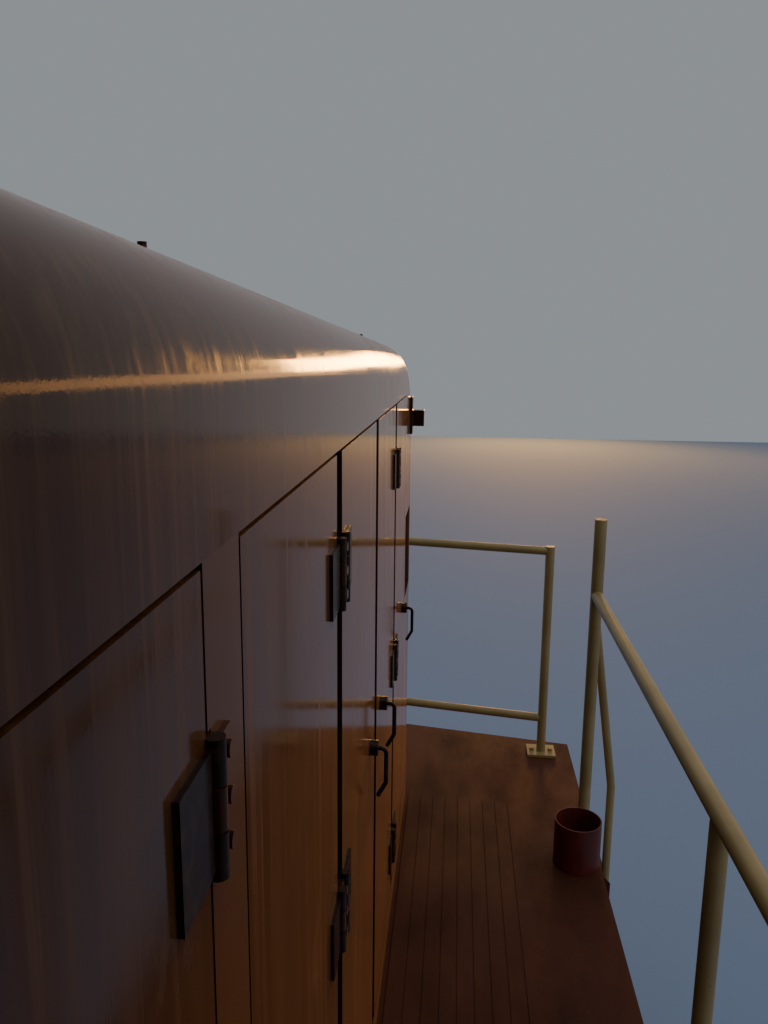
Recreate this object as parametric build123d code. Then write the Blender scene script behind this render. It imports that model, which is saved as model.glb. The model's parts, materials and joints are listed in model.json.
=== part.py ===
from build123d import *
import math
import os

os.makedirs("parts", exist_ok=True)

# Diesel shunting locomotive with a cab in the middle and a hood at each end.
# Millimetres. X runs along the track, Y across it, Z up. The origin is under the middle of the
# locomotive, at the level of the wheel flanges' lowest point.

# Driving dimensions of the running gear
TREAD_R = 508.0
FLANGE_H = 28.0
BACK_TO_BACK = 1360.0
RIM_W = 140.0
AXLE_R = 90.0
JOURNAL_R = 65.0
JOURNAL_CLEAR = 1.0
WHEELBASE = 2200.0
TRUCK_FROM_END = 2386.0

# Driving dimensions of the deck
DECK_TOP = 1430.0
DECK_T = 12.0
DECK_HALF_W = 1514.0
END_PLATFORM = 556.0
END_SWEEP_Y = 600.0
SWEEP_DEG = 10.2

# Driving dimensions of the hoods
CAB_HALF_L = 1250.0
HOOD_HALF_W = 725.0
HOOD_H = 2070.0
HOOD_FALL = 100.0
HOOD_R = 135.0
NOSE_R = 420.0
SHEET = 8.0
DOOR_BOTTOM = 100.0
DOOR_HEADER = 185.0
DOOR_T = 38.0
DOOR_GAP = 5.0
FRAME_D = 60.0
RECESS = 15.0
# The doors along one side of a hood, then the closed corner past the last of them
# columns: start and end from the cab's face, hinge on the edge nearer the cab (-1) or the hood's
# end (+1), how far the handle stands from the free edge
DOOR_ROW = (
    (50.0, 695.0, 1, 105.0),
    (812.0, 1414.0, 1, 155.0),
    (1474.0, 2070.0, -1, 105.0),
    (2123.0, 2685.0, 1, 105.0),
    (2736.0, 3200.0, -1, 105.0),
)
HOOD_CORNER_L = 480.0

# Driving dimensions of the cab
CAB_INSET = 6.0
CAB_FLOOR_H = 350.0
CAB_EAVES_H = 2420.0
ROOF_RISE = 190.0
WALL = 40.0

# Driving dimensions of the handrails
RAIL_R = 22.8
SIDE_POST_R = 21.6
CORNER_POST_R = 24.0
END_POST_R = 21.4
END_RAIL_R = 19.6
RAIL_H = 998.0
POST_INSET = 24.0

# The main places that follow from them
DOORS = [(CAB_HALF_L + x0, CAB_HALF_L + x1, *hinge_and_handle) for x0, x1, *hinge_and_handle in DOOR_ROW]
HOOD_END_X = DOORS[-1][1] + HOOD_CORNER_L
DECK_END_X = HOOD_END_X + END_PLATFORM
TRUCK_X = DECK_END_X - TRUCK_FROM_END
HOOD_H_FRONT = HOOD_H - HOOD_FALL
DOOR_TOP = HOOD_H_FRONT - DOOR_HEADER
CAB_HALF_W = DECK_HALF_W - CAB_INSET
POST_Y = DECK_HALF_W - POST_INSET
AXLE_Z = TREAD_R + FLANGE_H
FLANGE_R = TREAD_R + FLANGE_H
DECK_BOTTOM = DECK_TOP - DECK_T


def box(x0, x1, y0, y1, z0, z1):
    """A block between two corners."""
    low = (min(x0, x1), min(y0, y1), min(z0, z1))
    size = (abs(x1 - x0), abs(y1 - y0), abs(z1 - z0))
    return Pos(*low) * Box(*size, align=(Align.MIN, Align.MIN, Align.MIN))


def rod(start, end, radius):
    """A round bar between two points."""
    a = Vector(*start)
    b = Vector(*end)
    plane = Plane(origin=a, z_dir=b - a)
    return plane * Cylinder(radius, (b - a).length, align=(Align.CENTER, Align.CENTER, Align.MIN))


def plan(points, z0, z1):
    """An outline in X and Y, raised from z0 to z1."""
    return Pos(0, 0, z0) * extrude(make_face(Polyline(*points, close=True)), z1 - z0)


def side_view(points, y0, y1):
    """An outline in X and Z, thickened from y0 to y1."""
    face = make_face(Polyline(*[(x, y0, z) for x, z in points], close=True))
    return extrude(face, abs(y1 - y0), dir=(0, 1 if y1 > y0 else -1, 0))


def fuse(pieces):
    """One solid from pieces that meet."""
    whole = pieces[0]
    for piece in pieces[1:]:
        whole = whole + piece
    return whole


def both_ends(shape):
    """The shape and its copy mirrored end for end."""
    return [shape, mirror(shape, Plane.YZ)]


def four_corners(shape):
    """The shape and its copies mirrored end for end and side for side."""
    pair = both_ends(shape)
    return pair + [mirror(piece, Plane.XZ) for piece in pair]


def save(name, solids):
    """One STEP file from solids that don't touch each other."""
    flat = [solid for piece in solids for solid in piece.solids()]
    export_step(Compound(children=flat) if len(flat) > 1 else flat[0], f"parts/{name}.step")


# Deck plate, its ends swept back towards the corners
def end_x(y):
    """Where the deck ends at a distance y from the middle."""
    return DECK_END_X - max(0.0, abs(y) - END_SWEEP_Y) * math.tan(math.radians(SWEEP_DEG))


def deck_outline():
    quarter = [(DECK_END_X, END_SWEEP_Y), (end_x(DECK_HALF_W), DECK_HALF_W)]
    right = [(x, -y) for x, y in quarter]
    left = [(x, y) for x, y in reversed(quarter)]
    front = left + [(x, y) for x, y in right]
    rear = [(-x, y) for x, y in reversed(front)]
    return front + rear


save("deck_plate", [plan(deck_outline(), DECK_BOTTOM, DECK_TOP)])

# Tread planks beside the hoods, their front ends cut slantwise
TREAD_T = 6.0
TREAD_FROM_EDGE = 285.0
TREAD_PITCH = 54.0
GROOVE_W = 5.0
GROOVE_D = 3.0
TREAD_FROM_HOOD_END = 162.0
TREAD_END_X = HOOD_END_X - TREAD_FROM_HOOD_END
TREAD_SLANT = 56.0
TREAD_GAP = 18.0
TREAD_W = DECK_HALF_W - TREAD_FROM_EDGE - HOOD_HALF_W - TREAD_GAP
tread_in = -HOOD_HALF_W - TREAD_GAP
tread_out = tread_in - TREAD_W
tread_start = CAB_HALF_L + DOOR_GAP
tread_top = DECK_TOP + TREAD_T
tread_points = [
    (tread_start, tread_in),
    (TREAD_END_X, tread_in),
    (TREAD_END_X - TREAD_SLANT, tread_out),
    (tread_start, tread_out),
]
tread = plan(tread_points, DECK_TOP, tread_top)
for row in range(1, round(TREAD_W / TREAD_PITCH)):
    y = tread_in - row * TREAD_PITCH
    groove = (y - GROOVE_W / 2, y + GROOVE_W / 2, tread_top - GROOVE_D, tread_top + 1)
    tread = tread - box(CAB_HALF_L, TREAD_END_X, *groove)
save("tread_planks", four_corners(tread))

# Underframe: centre sill, body bolsters, cross bearers, side sills and draft pockets
SILL_HALF_W = 210.0
SILL_BOTTOM = 1120.0
BEARER_BOTTOM = 1200.0
SIDE_SILL_OUT = DECK_HALF_W - 14.0
SIDE_SILL_IN = SIDE_SILL_OUT - 100.0
STEP_FROM_END = 826.0
STEP_L = 565.0
STEP_X0 = DECK_END_X - STEP_FROM_END
STEP_X1 = STEP_X0 + STEP_L
COUPLER_H = 876.0
COUPLER_Z = COUPLER_H + FLANGE_H
SHANK_HALF = 75.0
PIVOT_FROM_END = 736.0
PIVOT_X = DECK_END_X - PIVOT_FROM_END
CENTRE_PLATE_R = 180.0
CENTRE_PLATE_Z = 1020.0
POCKET_START = PIVOT_X - 330.0
POCKET_END = PIVOT_X + 250.0
POCKET_BACK = 140.0
POCKET_FLOOR = COUPLER_Z - 110.0
# columns: start x, end x, bottom, top of the draft pocket's back, roof and floor and the sill's end
DRAFT_WALLS = (
    (POCKET_START, POCKET_START + POCKET_BACK, POCKET_FLOOR, SILL_BOTTOM),
    (POCKET_START, POCKET_END, COUPLER_Z + SHANK_HALF + DOOR_GAP, SILL_BOTTOM),
    (POCKET_START, POCKET_END, POCKET_FLOOR, COUPLER_Z - SHANK_HALF - DOOR_GAP),
    (POCKET_END, DECK_END_X - 40, SILL_BOTTOM, DECK_BOTTOM),
)
frame_pieces = [box(-POCKET_END, POCKET_END, -SILL_HALF_W, SILL_HALF_W, SILL_BOTTOM, DECK_BOTTOM)]
for side in (-1, 1):
    sill_y = (side * SIDE_SILL_IN, side * SIDE_SILL_OUT)
    frame_pieces.append(box(60 - STEP_X0, STEP_X0 - 60, *sill_y, BEARER_BOTTOM, DECK_BOTTOM))
BOLSTER_HALF = 150.0
BEARER_HALF = 40.0
BEARER_X = (600.0, 1800.0, TRUCK_X, POCKET_START - 20.0)
for side in (-1, 1):
    for x in BEARER_X:
        half = BOLSTER_HALF if x == TRUCK_X else BEARER_HALF
        at = side * x
        frame_pieces.append(
            box(at - half, at + half, -SIDE_SILL_IN, SIDE_SILL_IN, BEARER_BOTTOM, DECK_BOTTOM)
        )
for x in (-TRUCK_X, TRUCK_X):
    frame_pieces.append(rod((x, 0, CENTRE_PLATE_Z), (x, 0, SILL_BOTTOM + 10), CENTRE_PLATE_R))
for end in (-1, 1):
    for x0, x1, z0, z1 in DRAFT_WALLS:
        frame_pieces.append(box(end * x0, end * x1, -SILL_HALF_W, SILL_HALF_W, z0, z1))
PIN_R = 40.0
PIN_CLEAR = 2.0
underframe = fuse(frame_pieces)
for end in (-1, 1):
    hole_low = (end * PIVOT_X, 0, POCKET_FLOOR - 20)
    underframe = underframe - rod(hole_low, (end * PIVOT_X, 0, SILL_BOTTOM), PIN_R + PIN_CLEAR)
save("underframe", [underframe])

# End sills with the pilot below and the coupler opening
SILL_T = 40.0
PILOT_HALF_W = DECK_HALF_W - 264.0
PILOT_BOTTOM = 300.0
front_outer = [(end_x(y), y) for y in (-DECK_HALF_W, -END_SWEEP_Y, END_SWEEP_Y, DECK_HALF_W)]
front_inner = [(x - SILL_T, y) for x, y in reversed(front_outer)]
end_sill = plan(front_outer + front_inner, PILOT_BOTTOM, DECK_BOTTOM)
for side in (-1, 1):
    corner = (POCKET_END, DECK_END_X + 1, side * PILOT_HALF_W, side * (DECK_HALF_W + 1))
    end_sill = end_sill - box(*corner, 0, BEARER_BOTTOM)
MOUTH_HALF_W = 330.0
MOUTH_HALF_H = 200.0
mouth = (POCKET_END, DECK_END_X + 1, -MOUTH_HALF_W, MOUTH_HALF_W)
end_sill = end_sill - box(*mouth, COUPLER_Z - MOUTH_HALF_H, COUPLER_Z + MOUTH_HALF_H)
save("end_sills", both_ends(end_sill))

# Step ladders under the deck's corners: hanger plates and three treads
STEP_OUT_Y = DECK_HALF_W + 118.0
STEP_IN_Y = DECK_HALF_W - 124.0
STEP_T = 30.0
HANGER_T = 12.0
STEP_LOW = 330.0
STEP_DROPS = (350.0, 700.0, 1050.0)
hanger_outline = [
    (-STEP_IN_Y, DECK_BOTTOM),
    (-DECK_HALF_W + 5, DECK_BOTTOM),
    (-DECK_HALF_W + 5, DECK_TOP - 200),
    (-STEP_OUT_Y, DECK_TOP - 320),
    (-STEP_OUT_Y, STEP_LOW),
    (-STEP_IN_Y, STEP_LOW),
]
ladder_pieces = []
for x in (STEP_X0, STEP_X1 - HANGER_T):
    face = make_face(Polyline(*[(x, y, z) for y, z in hanger_outline], close=True))
    ladder_pieces.append(extrude(face, HANGER_T, dir=(1, 0, 0)))
for drop in STEP_DROPS:
    top = DECK_TOP - drop
    ladder_pieces.append(box(STEP_X0, STEP_X1, -STEP_OUT_Y, -STEP_IN_Y, top - STEP_T, top))
ladder = fuse(ladder_pieces)
save("step_ladders", four_corners(ladder))

# Fuel tank between the trucks, with rounded lower edges, and the air reservoirs beside it
TANK_FROM_AXLE = 820.0
TANK_HALF_L = TRUCK_X - WHEELBASE / 2 - TANK_FROM_AXLE
RES_R = 150.0
TANK_TO_RES = 100.0
TANK_HALF_W = SIDE_SILL_IN - 2 * RES_R - TANK_TO_RES
TANK_BOTTOM = 380.0
TANK_R = 160.0
tank = box(-TANK_HALF_L, TANK_HALF_L, -TANK_HALF_W, TANK_HALF_W, TANK_BOTTOM, SILL_BOTTOM)
low_edges = tank.edges().filter_by(Axis.X).group_by(Axis.Z)[0]
tank = fillet(low_edges, TANK_R)
save("fuel_tank", [tank])
RES_HALF_L = 900.0
RES_Y = -(SIDE_SILL_IN - RES_R)
res_line = [(-RES_HALF_L, 0), (-RES_HALF_L, 60), (-RES_HALF_L + 40, RES_R)]
res_line = res_line + [(-x, y) for x, y in reversed(res_line)]
reservoir = revolve(make_face(Polyline(*res_line, close=True)), Axis.X)
hung = Pos(0, RES_Y, BEARER_BOTTOM - RES_R) * reservoir
save("air_reservoirs", [hung, mirror(hung, Plane.XZ)])

# Handrails: posts on bolted feet, side rails, end rails, and the bent poles at the steps
CORNER_X = STEP_X0 - 55.0
SIDE_POST_X = (CAB_HALF_L + 150.0, CORNER_X - 1612.0)
CORNER_H = 1309.0
END_POST = (DECK_END_X - 264.0, DECK_HALF_W - 143.0)
END_TOP_H = 1027.0
END_LOW_H = 182.0
FOOT_T = 12.0
FOOT_LONG = 68.0
FOOT_SHORT = 58.0
FOOT_BOLT = 45.0
FOOT_BOLT_R = 11.0
POST_RISE = 4.0
inner_post_x = END_POST[0] + (END_POST[1] - END_SWEEP_Y) * math.tan(math.radians(SWEEP_DEG))


def post(x, y, height, radius, half_x, half_y, edge=0.0):
    """A post on a foot with two bolt heads. The foot stops edge outside the post's middle, where given."""
    outer = y - (edge or half_y)
    along_x = half_x > half_y
    post_piece = box(x - half_x, x + half_x, outer, y + half_y, DECK_TOP, DECK_TOP + FOOT_T)
    for side in (-1, 1):
        bolt_x = x + side * FOOT_BOLT * along_x
        bolt_y = y + side * FOOT_BOLT * (not along_x)
        low = (bolt_x, bolt_y, DECK_TOP + FOOT_T)
        post_piece = post_piece + rod(low, (bolt_x, bolt_y, DECK_TOP + 2 * FOOT_T), FOOT_BOLT_R)
    return post_piece + rod((x, y, DECK_TOP), (x, y, DECK_TOP + height), radius)


side_rail = rod((CAB_HALF_L, -POST_Y, DECK_TOP + RAIL_H), (CORNER_X, -POST_Y, DECK_TOP + RAIL_H), RAIL_R)
end_a = (END_POST[0], -END_POST[1])
end_b = (inner_post_x, -END_SWEEP_Y)
end_segments = []
for height in (END_LOW_H, END_TOP_H):
    z = DECK_TOP + height
    end_segments.append(rod((*end_a, z), (*end_b, z), END_RAIL_R))
posts = [post(x, -POST_Y, RAIL_H, SIDE_POST_R, FOOT_LONG, 40.0, SIDE_POST_R) for x in SIDE_POST_X]
posts = [piece - side_rail for piece in posts]
corner_post = post(CORNER_X, -POST_Y, CORNER_H, CORNER_POST_R, FOOT_LONG, 40.0, CORNER_POST_R - 1)
end_post_h = END_TOP_H + END_RAIL_R + POST_RISE
end_posts = [post(x, y, end_post_h, END_POST_R, FOOT_SHORT, FOOT_LONG) for x, y in (end_a, end_b)]
centre_rails = []
for height in (END_LOW_H, END_TOP_H):
    z = DECK_TOP + height
    centre_rails.append(rod((inner_post_x, -END_SWEEP_Y, z), (inner_post_x, END_SWEEP_Y, z), END_RAIL_R))
all_posts = [solid for piece in posts + [corner_post] + end_posts for solid in four_corners(piece)]
save("handrail_posts", all_posts)
rails = four_corners(side_rail - corner_post)
for piece in end_segments:
    rails = rails + four_corners(piece - end_posts[0] - end_posts[1])
for piece in centre_rails:
    rails = rails + both_ends(piece - end_posts[1] - mirror(end_posts[1], Plane.XZ))
POLE_R = 17.0
POLE_TOP_H = 925.0
POLE_BEND_H = 130.0
POLE_BEND_R = 150.0
pole_x = STEP_X0 + 24
pole_y = -STEP_OUT_Y + POLE_R + 2
pole_path = FilletPolyline(
    (pole_x, pole_y, DECK_TOP - STEP_DROPS[0] - 10),
    (pole_x, pole_y, DECK_TOP + POLE_BEND_H),
    (CORNER_X + 6, -POST_Y, DECK_TOP + POLE_TOP_H),
    radius=POLE_BEND_R,
)
pole = sweep(Plane(origin=pole_path @ 0, z_dir=pole_path % 0) * Circle(POLE_R), path=pole_path)
rails = rails + four_corners(pole - ladder - corner_post)
save("handrails", rails)

# Open pot standing on the deck by the corner post
POT_R = 89.0
POT_X = CORNER_X - 285.0
POT_Y = -DECK_HALF_W + POT_R + 3.0
POT_H = 182.0
POT_WALL = 5.0
pot_rim = (POT_X, POT_Y, DECK_TOP + POT_H)
pot_void = rod((POT_X, POT_Y, DECK_TOP + POT_WALL), pot_rim, POT_R - POT_WALL)
save("deck_pot", [rod((POT_X, POT_Y, DECK_TOP), pot_rim, POT_R) - pot_void])

# Hoods: a rounded shell cut into its roof and its end wall
hood_low = DECK_TOP
header_z = DECK_TOP + DOOR_TOP + DOOR_GAP
hood_top = DECK_TOP + HOOD_H


def hood_body(inset):
    """The hood's outer form, rounded and with a falling top, drawn in by inset."""
    end = HOOD_END_X - inset
    back = CAB_HALF_L - 400
    fall = (HOOD_H - HOOD_H_FRONT) / (HOOD_END_X - CAB_HALF_L)
    low = hood_low - 400
    outline = [
        (back, low),
        (end, low),
        (end, hood_top - inset - fall * (end - CAB_HALF_L)),
        (back, hood_top - inset + fall * (CAB_HALF_L - back)),
    ]
    side = HOOD_HALF_W - inset
    body = side_view(outline, -side, side)
    nose = [e for e in body.edges().filter_by(Axis.Y) if e.center().Z > DECK_TOP and e.center().X > end - 1]
    body = fillet(nose, NOSE_R - inset)
    rim = [e for e in body.edges() if abs(abs(e.center().Y) - side) < 1]
    rim = [e for e in rim if e.center().Z > low + 1 and e.center().X > back + 1]
    return fillet(rim, HOOD_R - inset)


shell = hood_body(0.0) - hood_body(SHEET)
roof = shell & box(CAB_HALF_L, HOOD_END_X + 10, -HOOD_HALF_W, HOOD_HALF_W, header_z, hood_top)
HEADER_H = 45.0
STUD_X = (CAB_HALF_L + 960.0, CAB_HALF_L + 2900.0)
STUD_Y = 590.0
STUD_R = 5.0
STUD_H = 14.0
end_post_x = DOORS[-1][1] + DOOR_GAP
for side in (-1, 1):
    outer = side * (HOOD_HALF_W - SHEET / 2)
    inner = side * (HOOD_HALF_W - FRAME_D - RECESS)
    roof = roof + box(CAB_HALF_L, end_post_x, outer, inner, header_z, header_z + HEADER_H)
    for x in STUD_X:
        roof_z = hood_top - (x - CAB_HALF_L) * (HOOD_H - HOOD_H_FRONT) / (HOOD_END_X - CAB_HALF_L)
        roof = roof + rod((x, side * STUD_Y, roof_z - SHEET), (x, side * STUD_Y, roof_z + STUD_H), STUD_R)
save("hood_roofs", both_ends(roof))

end_wall = shell & box(end_post_x, HOOD_END_X + 10, -HOOD_HALF_W, HOOD_HALF_W, hood_low, header_z)
GRILLE_HALF_W = 430.0
LAMP_DROP = 490.0
LAMP_Z = DECK_TOP + HOOD_H_FRONT - LAMP_DROP
GRILLE_Z0 = DECK_TOP + 320
GRILLE_Z1 = LAMP_Z - 150
grille_hole = (HOOD_END_X - 50, HOOD_END_X + 50, -GRILLE_HALF_W, GRILLE_HALF_W, GRILLE_Z0, GRILLE_Z1)
end_wall = end_wall - box(*grille_hole)
# A pocket in the side wall at each corner, with an upright grab bar in it
POCKET_X = (HOOD_END_X - 420.0, HOOD_END_X - 150.0)
POCKET_Z = (DECK_TOP + 985, DECK_TOP + 1316)
POCKET_D = 75.0
for side in (-1, 1):
    outer = side * (HOOD_HALF_W + 1)
    floor_y = side * (HOOD_HALF_W - POCKET_D)
    rim = box(POCKET_X[0] - SHEET, POCKET_X[1] + SHEET, side * (HOOD_HALF_W - SHEET / 2), floor_y,
              POCKET_Z[0] - SHEET, POCKET_Z[1] + SHEET)
    hollow_box = box(*POCKET_X, outer, floor_y + side * SHEET, *POCKET_Z)
    end_wall = end_wall + rim - hollow_box
save("hood_ends", both_ends(end_wall))

# Radiator grille in each hood's end: a frame and sloping slats
SLAT_PITCH = 60.0
SLAT_T = 6.0
SLAT_DROP = 30.0
GRILLE_OUT = 20.0
GRILLE_FRAME = 30.0
slat_y = GRILLE_HALF_W - GRILLE_FRAME
slat_z0 = GRILLE_Z0 + GRILLE_FRAME
slat_z1 = GRILLE_Z1 - GRILLE_FRAME
back_x = HOOD_END_X - SHEET
front_x = HOOD_END_X + GRILLE_OUT
grille = box(back_x, front_x, -GRILLE_HALF_W, GRILLE_HALF_W, GRILLE_Z0, GRILLE_Z1)
grille_pieces = [grille - box(back_x - 1, front_x + 1, -slat_y, slat_y, slat_z0, slat_z1)]
for row in range(int((slat_z1 - slat_z0) / SLAT_PITCH)):
    high = slat_z0 + SLAT_PITCH * (row + 0.5) + SLAT_DROP / 2
    low = high - SLAT_DROP
    slat_end = front_x - SLAT_T
    points = [(back_x, high), (slat_end, low), (slat_end, low - SLAT_T), (back_x, high - SLAT_T)]
    grille_pieces.append(side_view(points, -slat_y - 1, slat_y + 1))
save("radiator_grilles", both_ends(fuse(grille_pieces)))

# Hinges of the hood doors: the door has the upper and the lower knuckle, the post the middle one
HINGE_Z = (DOOR_BOTTOM + 170.0, 940.0, DOOR_TOP - 199.0)
LEAF_H = 108.0
LEAF_T = 6.0
LEAF_L = 86.0
FIXED_L = 46.0
BARREL_H = 124.0
BARREL_R = 9.0
BARREL_OUT = 6.0
AXIS_IN = 4.0
KNUCKLE_H = 38.0
KNUCKLE_GAP = 2.0
BOLT_R = 8.0
BOLT_H = 8.0
BOLT_PITCH = 41.5
BOLT_FROM_AXIS = 21.0
face_y = -HOOD_HALF_W
axis_y = face_y - BARREL_OUT
clear_r = BARREL_R + KNUCKLE_GAP


def upright(x, y, z, height, radius):
    """A round bar standing through z, half above it and half below."""
    return rod((x, y, z - height / 2), (x, y, z + height / 2), radius)


def bolt_row(x, y, z):
    """Three bolt heads one above the other on a face turned to -Y."""
    heads = []
    for row in (-1, 0, 1):
        at = z + row * BOLT_PITCH
        heads.append(rod((x, y, at), (x, y - BOLT_H, at), BOLT_R))
    return heads


# Hood side posts between the doors, set back where they are narrow, and the sill under them
# columns: start x, end x, how far the face lies back, x of the hinge axes on it
post_edges = [(CAB_HALF_L, None, DOORS[0])]
post_edges += [(None, left, right) for left, right in zip(DOORS[:-1], DOORS[1:])]
WIDE_POST = 100.0
POSTS = []
for start, left, right in post_edges:
    x0 = start if left is None else left[1] + DOOR_GAP
    x1 = right[0] - DOOR_GAP
    axes = [left[1] + AXIS_IN] if left and left[2] > 0 else []
    axes += [right[0] - AXIS_IN] if right[2] < 0 else []
    POSTS.append((x0, x1, 0.0 if left is None or x1 - x0 > WIDE_POST else RECESS, axes))
SILL_H = DOOR_BOTTOM - DOOR_GAP
post_solids = []
for x0, x1, back, axes in POSTS:
    piece = box(x0, x1, face_y + back, face_y + FRAME_D + RECESS, DECK_TOP + SILL_H, header_z)
    for height in HINGE_Z:
        z = DECK_TOP + height
        z_low, z_high = z - LEAF_H / 2, z + LEAF_H / 2
        for axis_x in axes:
            piece = piece - upright(axis_x, axis_y, z, BARREL_H + 2 * KNUCKLE_GAP, clear_r)
        if len(axes) == 2:
            bar_x = (axes[0] + clear_r, axes[1] - clear_r)
            bolt_x = sum(axes) / 2
        elif axes:
            bar_x = (axes[0] + clear_r, axes[0] + FIXED_L)
            bolt_x = axes[0] + BOLT_FROM_AXIS
        if axes:
            plate = box(*bar_x, face_y + back, face_y - LEAF_T, z_low, z_high)
            piece = fuse([piece, plate] + bolt_row(bolt_x, face_y - LEAF_T, z))
        for axis_x in axes:
            knuckle = upright(axis_x, axis_y, z, KNUCKLE_H, BARREL_R)
            web = box(axis_x, bolt_x, face_y + 1, face_y - LEAF_T, z - KNUCKLE_H / 2, z + KNUCKLE_H / 2)
            piece = piece + knuckle + web
    post_solids.append(piece)
save("hood_posts", [solid for piece in post_solids for solid in four_corners(piece)])
sill = box(CAB_HALF_L, end_post_x - 1, face_y, face_y + FRAME_D + RECESS, DECK_TOP, DECK_TOP + SILL_H)
save("hood_sills", four_corners(sill))

# Hood doors: a slab, three hinges and a lever handle on a round boss
HANDLE_Z = 1000.0
HANDLE_R = 5.5
HANDLE_OUT = 40.0
HANDLE_DROP = 90.0
HOOK_DROP = 36.0
HOOK_IN = 20.0
BOSS_R = 19.0
BOSS_H = 20.0


def handle(x, z):
    """A bent rod out of a round boss, hanging down and hooked back towards the door."""
    boss = rod((x, face_y + 2, z), (x, face_y - BOSS_H, z), BOSS_R)
    path = FilletPolyline(
        (x, face_y - BOSS_H + 4, z),
        (x, face_y - HANDLE_OUT, z),
        (x, face_y - HANDLE_OUT, z - HANDLE_DROP),
        (x, face_y - HANDLE_OUT + HOOK_IN, z - HANDLE_DROP - HOOK_DROP),
        radius=14,
    )
    start = Plane(origin=path @ 0, z_dir=path % 0)
    return boss + sweep(start * Circle(HANDLE_R), path=path)


def door(x0, x1, hinge_side, handle_in):
    """A hood door hinged on its end x1 where hinge_side is 1, on its end x0 where it is -1."""
    slab = box(x0, x1, face_y, face_y + DOOR_T, DECK_TOP + DOOR_BOTTOM, DECK_TOP + DOOR_TOP)
    free_x = x0 if hinge_side > 0 else x1
    axis_x = (x1 if hinge_side > 0 else x0) + hinge_side * AXIS_IN
    whole = slab + handle(free_x + hinge_side * handle_in, DECK_TOP + HANDLE_Z)
    for height in HINGE_Z:
        z = DECK_TOP + height
        leaf_end = axis_x - hinge_side * LEAF_L
        plate = box(axis_x, leaf_end, face_y, face_y - LEAF_T, z - LEAF_H / 2, z + LEAF_H / 2)
        whole = whole + plate + upright(axis_x, axis_y, z, BARREL_H, BARREL_R)
        whole = whole - upright(axis_x, axis_y, z, KNUCKLE_H + 2 * KNUCKLE_GAP, clear_r)
    return whole


# columns: name, mirrored end for end, mirrored side for side
QUARTERS = (
    ("front_right", False, False),
    ("front_left", False, True),
    ("rear_right", True, False),
    ("rear_left", True, True),
)
for number, (x0, x1, hinge_side, handle_in) in enumerate(DOORS, 1):
    finished = door(x0, x1, hinge_side, handle_in)
    for name, flip_x, flip_y in QUARTERS:
        shape = finished
        if flip_x:
            shape = mirror(shape, Plane.YZ)
        if flip_y:
            shape = mirror(shape, Plane.XZ)
        save(f"door_{name}_{number}", [shape])

# Engines, one plain block in each hood
ENGINE_X = (CAB_HALF_L + 250.0, HOOD_END_X - 980.0)
ENGINE_HALF_W = 400.0
ENGINE_H = HOOD_H_FRONT - 470.0
save("engines", both_ends(box(*ENGINE_X, -ENGINE_HALF_W, ENGINE_HALF_W, DECK_TOP, DECK_TOP + ENGINE_H)))

# Headlights over the grilles, exhaust stacks, corner lamps and grab bars on the hoods' corners
lamp = box(HOOD_END_X - 40, HOOD_END_X + 70, -230, 230, LAMP_Z - 110, LAMP_Z + 110)
lamp = fillet(lamp.edges().filter_by(Axis.X), 50) - hood_body(0.0)
for side in (-1, 1):
    lamp = lamp + rod((HOOD_END_X + 60, side * 110, LAMP_Z), (HOOD_END_X + 90, side * 110, LAMP_Z), 85)
save("headlights", both_ends(lamp))
STACK_X = CAB_HALF_L + 1600.0
STACK_R = 110.0
STACK_TOP = hood_top + 90
stack = rod((STACK_X, 0, DECK_TOP + ENGINE_H + 5), (STACK_X, 0, STACK_TOP), STACK_R) - hood_body(0.0)
stack = stack - rod((STACK_X, 0, DECK_TOP), (STACK_X, 0, STACK_TOP + 1), STACK_R - SHEET)
save("exhaust_stacks", both_ends(stack))
PLATE_MID_X = HOOD_END_X - 180.0
PLATE_TOP = DECK_TOP + DOOR_TOP - 15.0
plate_z = (PLATE_TOP - 150, PLATE_TOP)
box_z = (PLATE_TOP - 118, PLATE_TOP - 54)
lamp_plate = box(PLATE_MID_X - 35, PLATE_MID_X + 35, face_y + 20, face_y - 10, *plate_z)
corner_lamp = lamp_plate + box(PLATE_MID_X - 25, PLATE_MID_X + 25, face_y, face_y - 56, *box_z)
save("corner_lamps", four_corners(corner_lamp - hood_body(0.0)))
GRAB_R = 10.0
grab = upright(POCKET_X[0] + 90, face_y + 32, sum(POCKET_Z) / 2, POCKET_Z[1] - POCKET_Z[0], GRAB_R)
save("corner_grabs", four_corners(grab))

# Cab: floor, sides, ends with the door openings, arched roof, glass
cab_floor_z = DECK_TOP + CAB_FLOOR_H
eaves_z = DECK_TOP + CAB_EAVES_H
window_z0 = cab_floor_z + 950
window_z1 = cab_floor_z + 1750
in_y = CAB_HALF_W - WALL
in_x = CAB_HALF_L - WALL
floor_pieces = [box(-in_x, in_x, -in_y, in_y, cab_floor_z - 40, cab_floor_z)]
for y in (-1100.0, -380.0, 380.0, 1100.0):
    floor_pieces.append(box(-in_x, in_x, y - 30, y + 30, DECK_TOP, cab_floor_z - 40))
save("cab_floor", [fuse(floor_pieces)])
# columns: start x, end x of each side window
SIDE_WINDOWS = ((-980.0, -80.0), (80.0, 980.0))
cab_side = box(-CAB_HALF_L, CAB_HALF_L, -CAB_HALF_W, -in_y, DECK_TOP, eaves_z)
cab_side = fillet([e for e in cab_side.edges().filter_by(Axis.Z) if e.center().Y < -CAB_HALF_W + 1], 30)
for x0, x1 in SIDE_WINDOWS:
    cab_side = cab_side - box(x0, x1, -CAB_HALF_W - 1, -in_y + 1, window_z0, window_z1)
save("cab_sides", [cab_side, mirror(cab_side, Plane.XZ)])


def arch(half_w, low, rise):
    """The roof's arc across the locomotive."""
    return ThreePointArc((0, -half_w, low), (0, 0, low + rise), (0, half_w, low))


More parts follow.
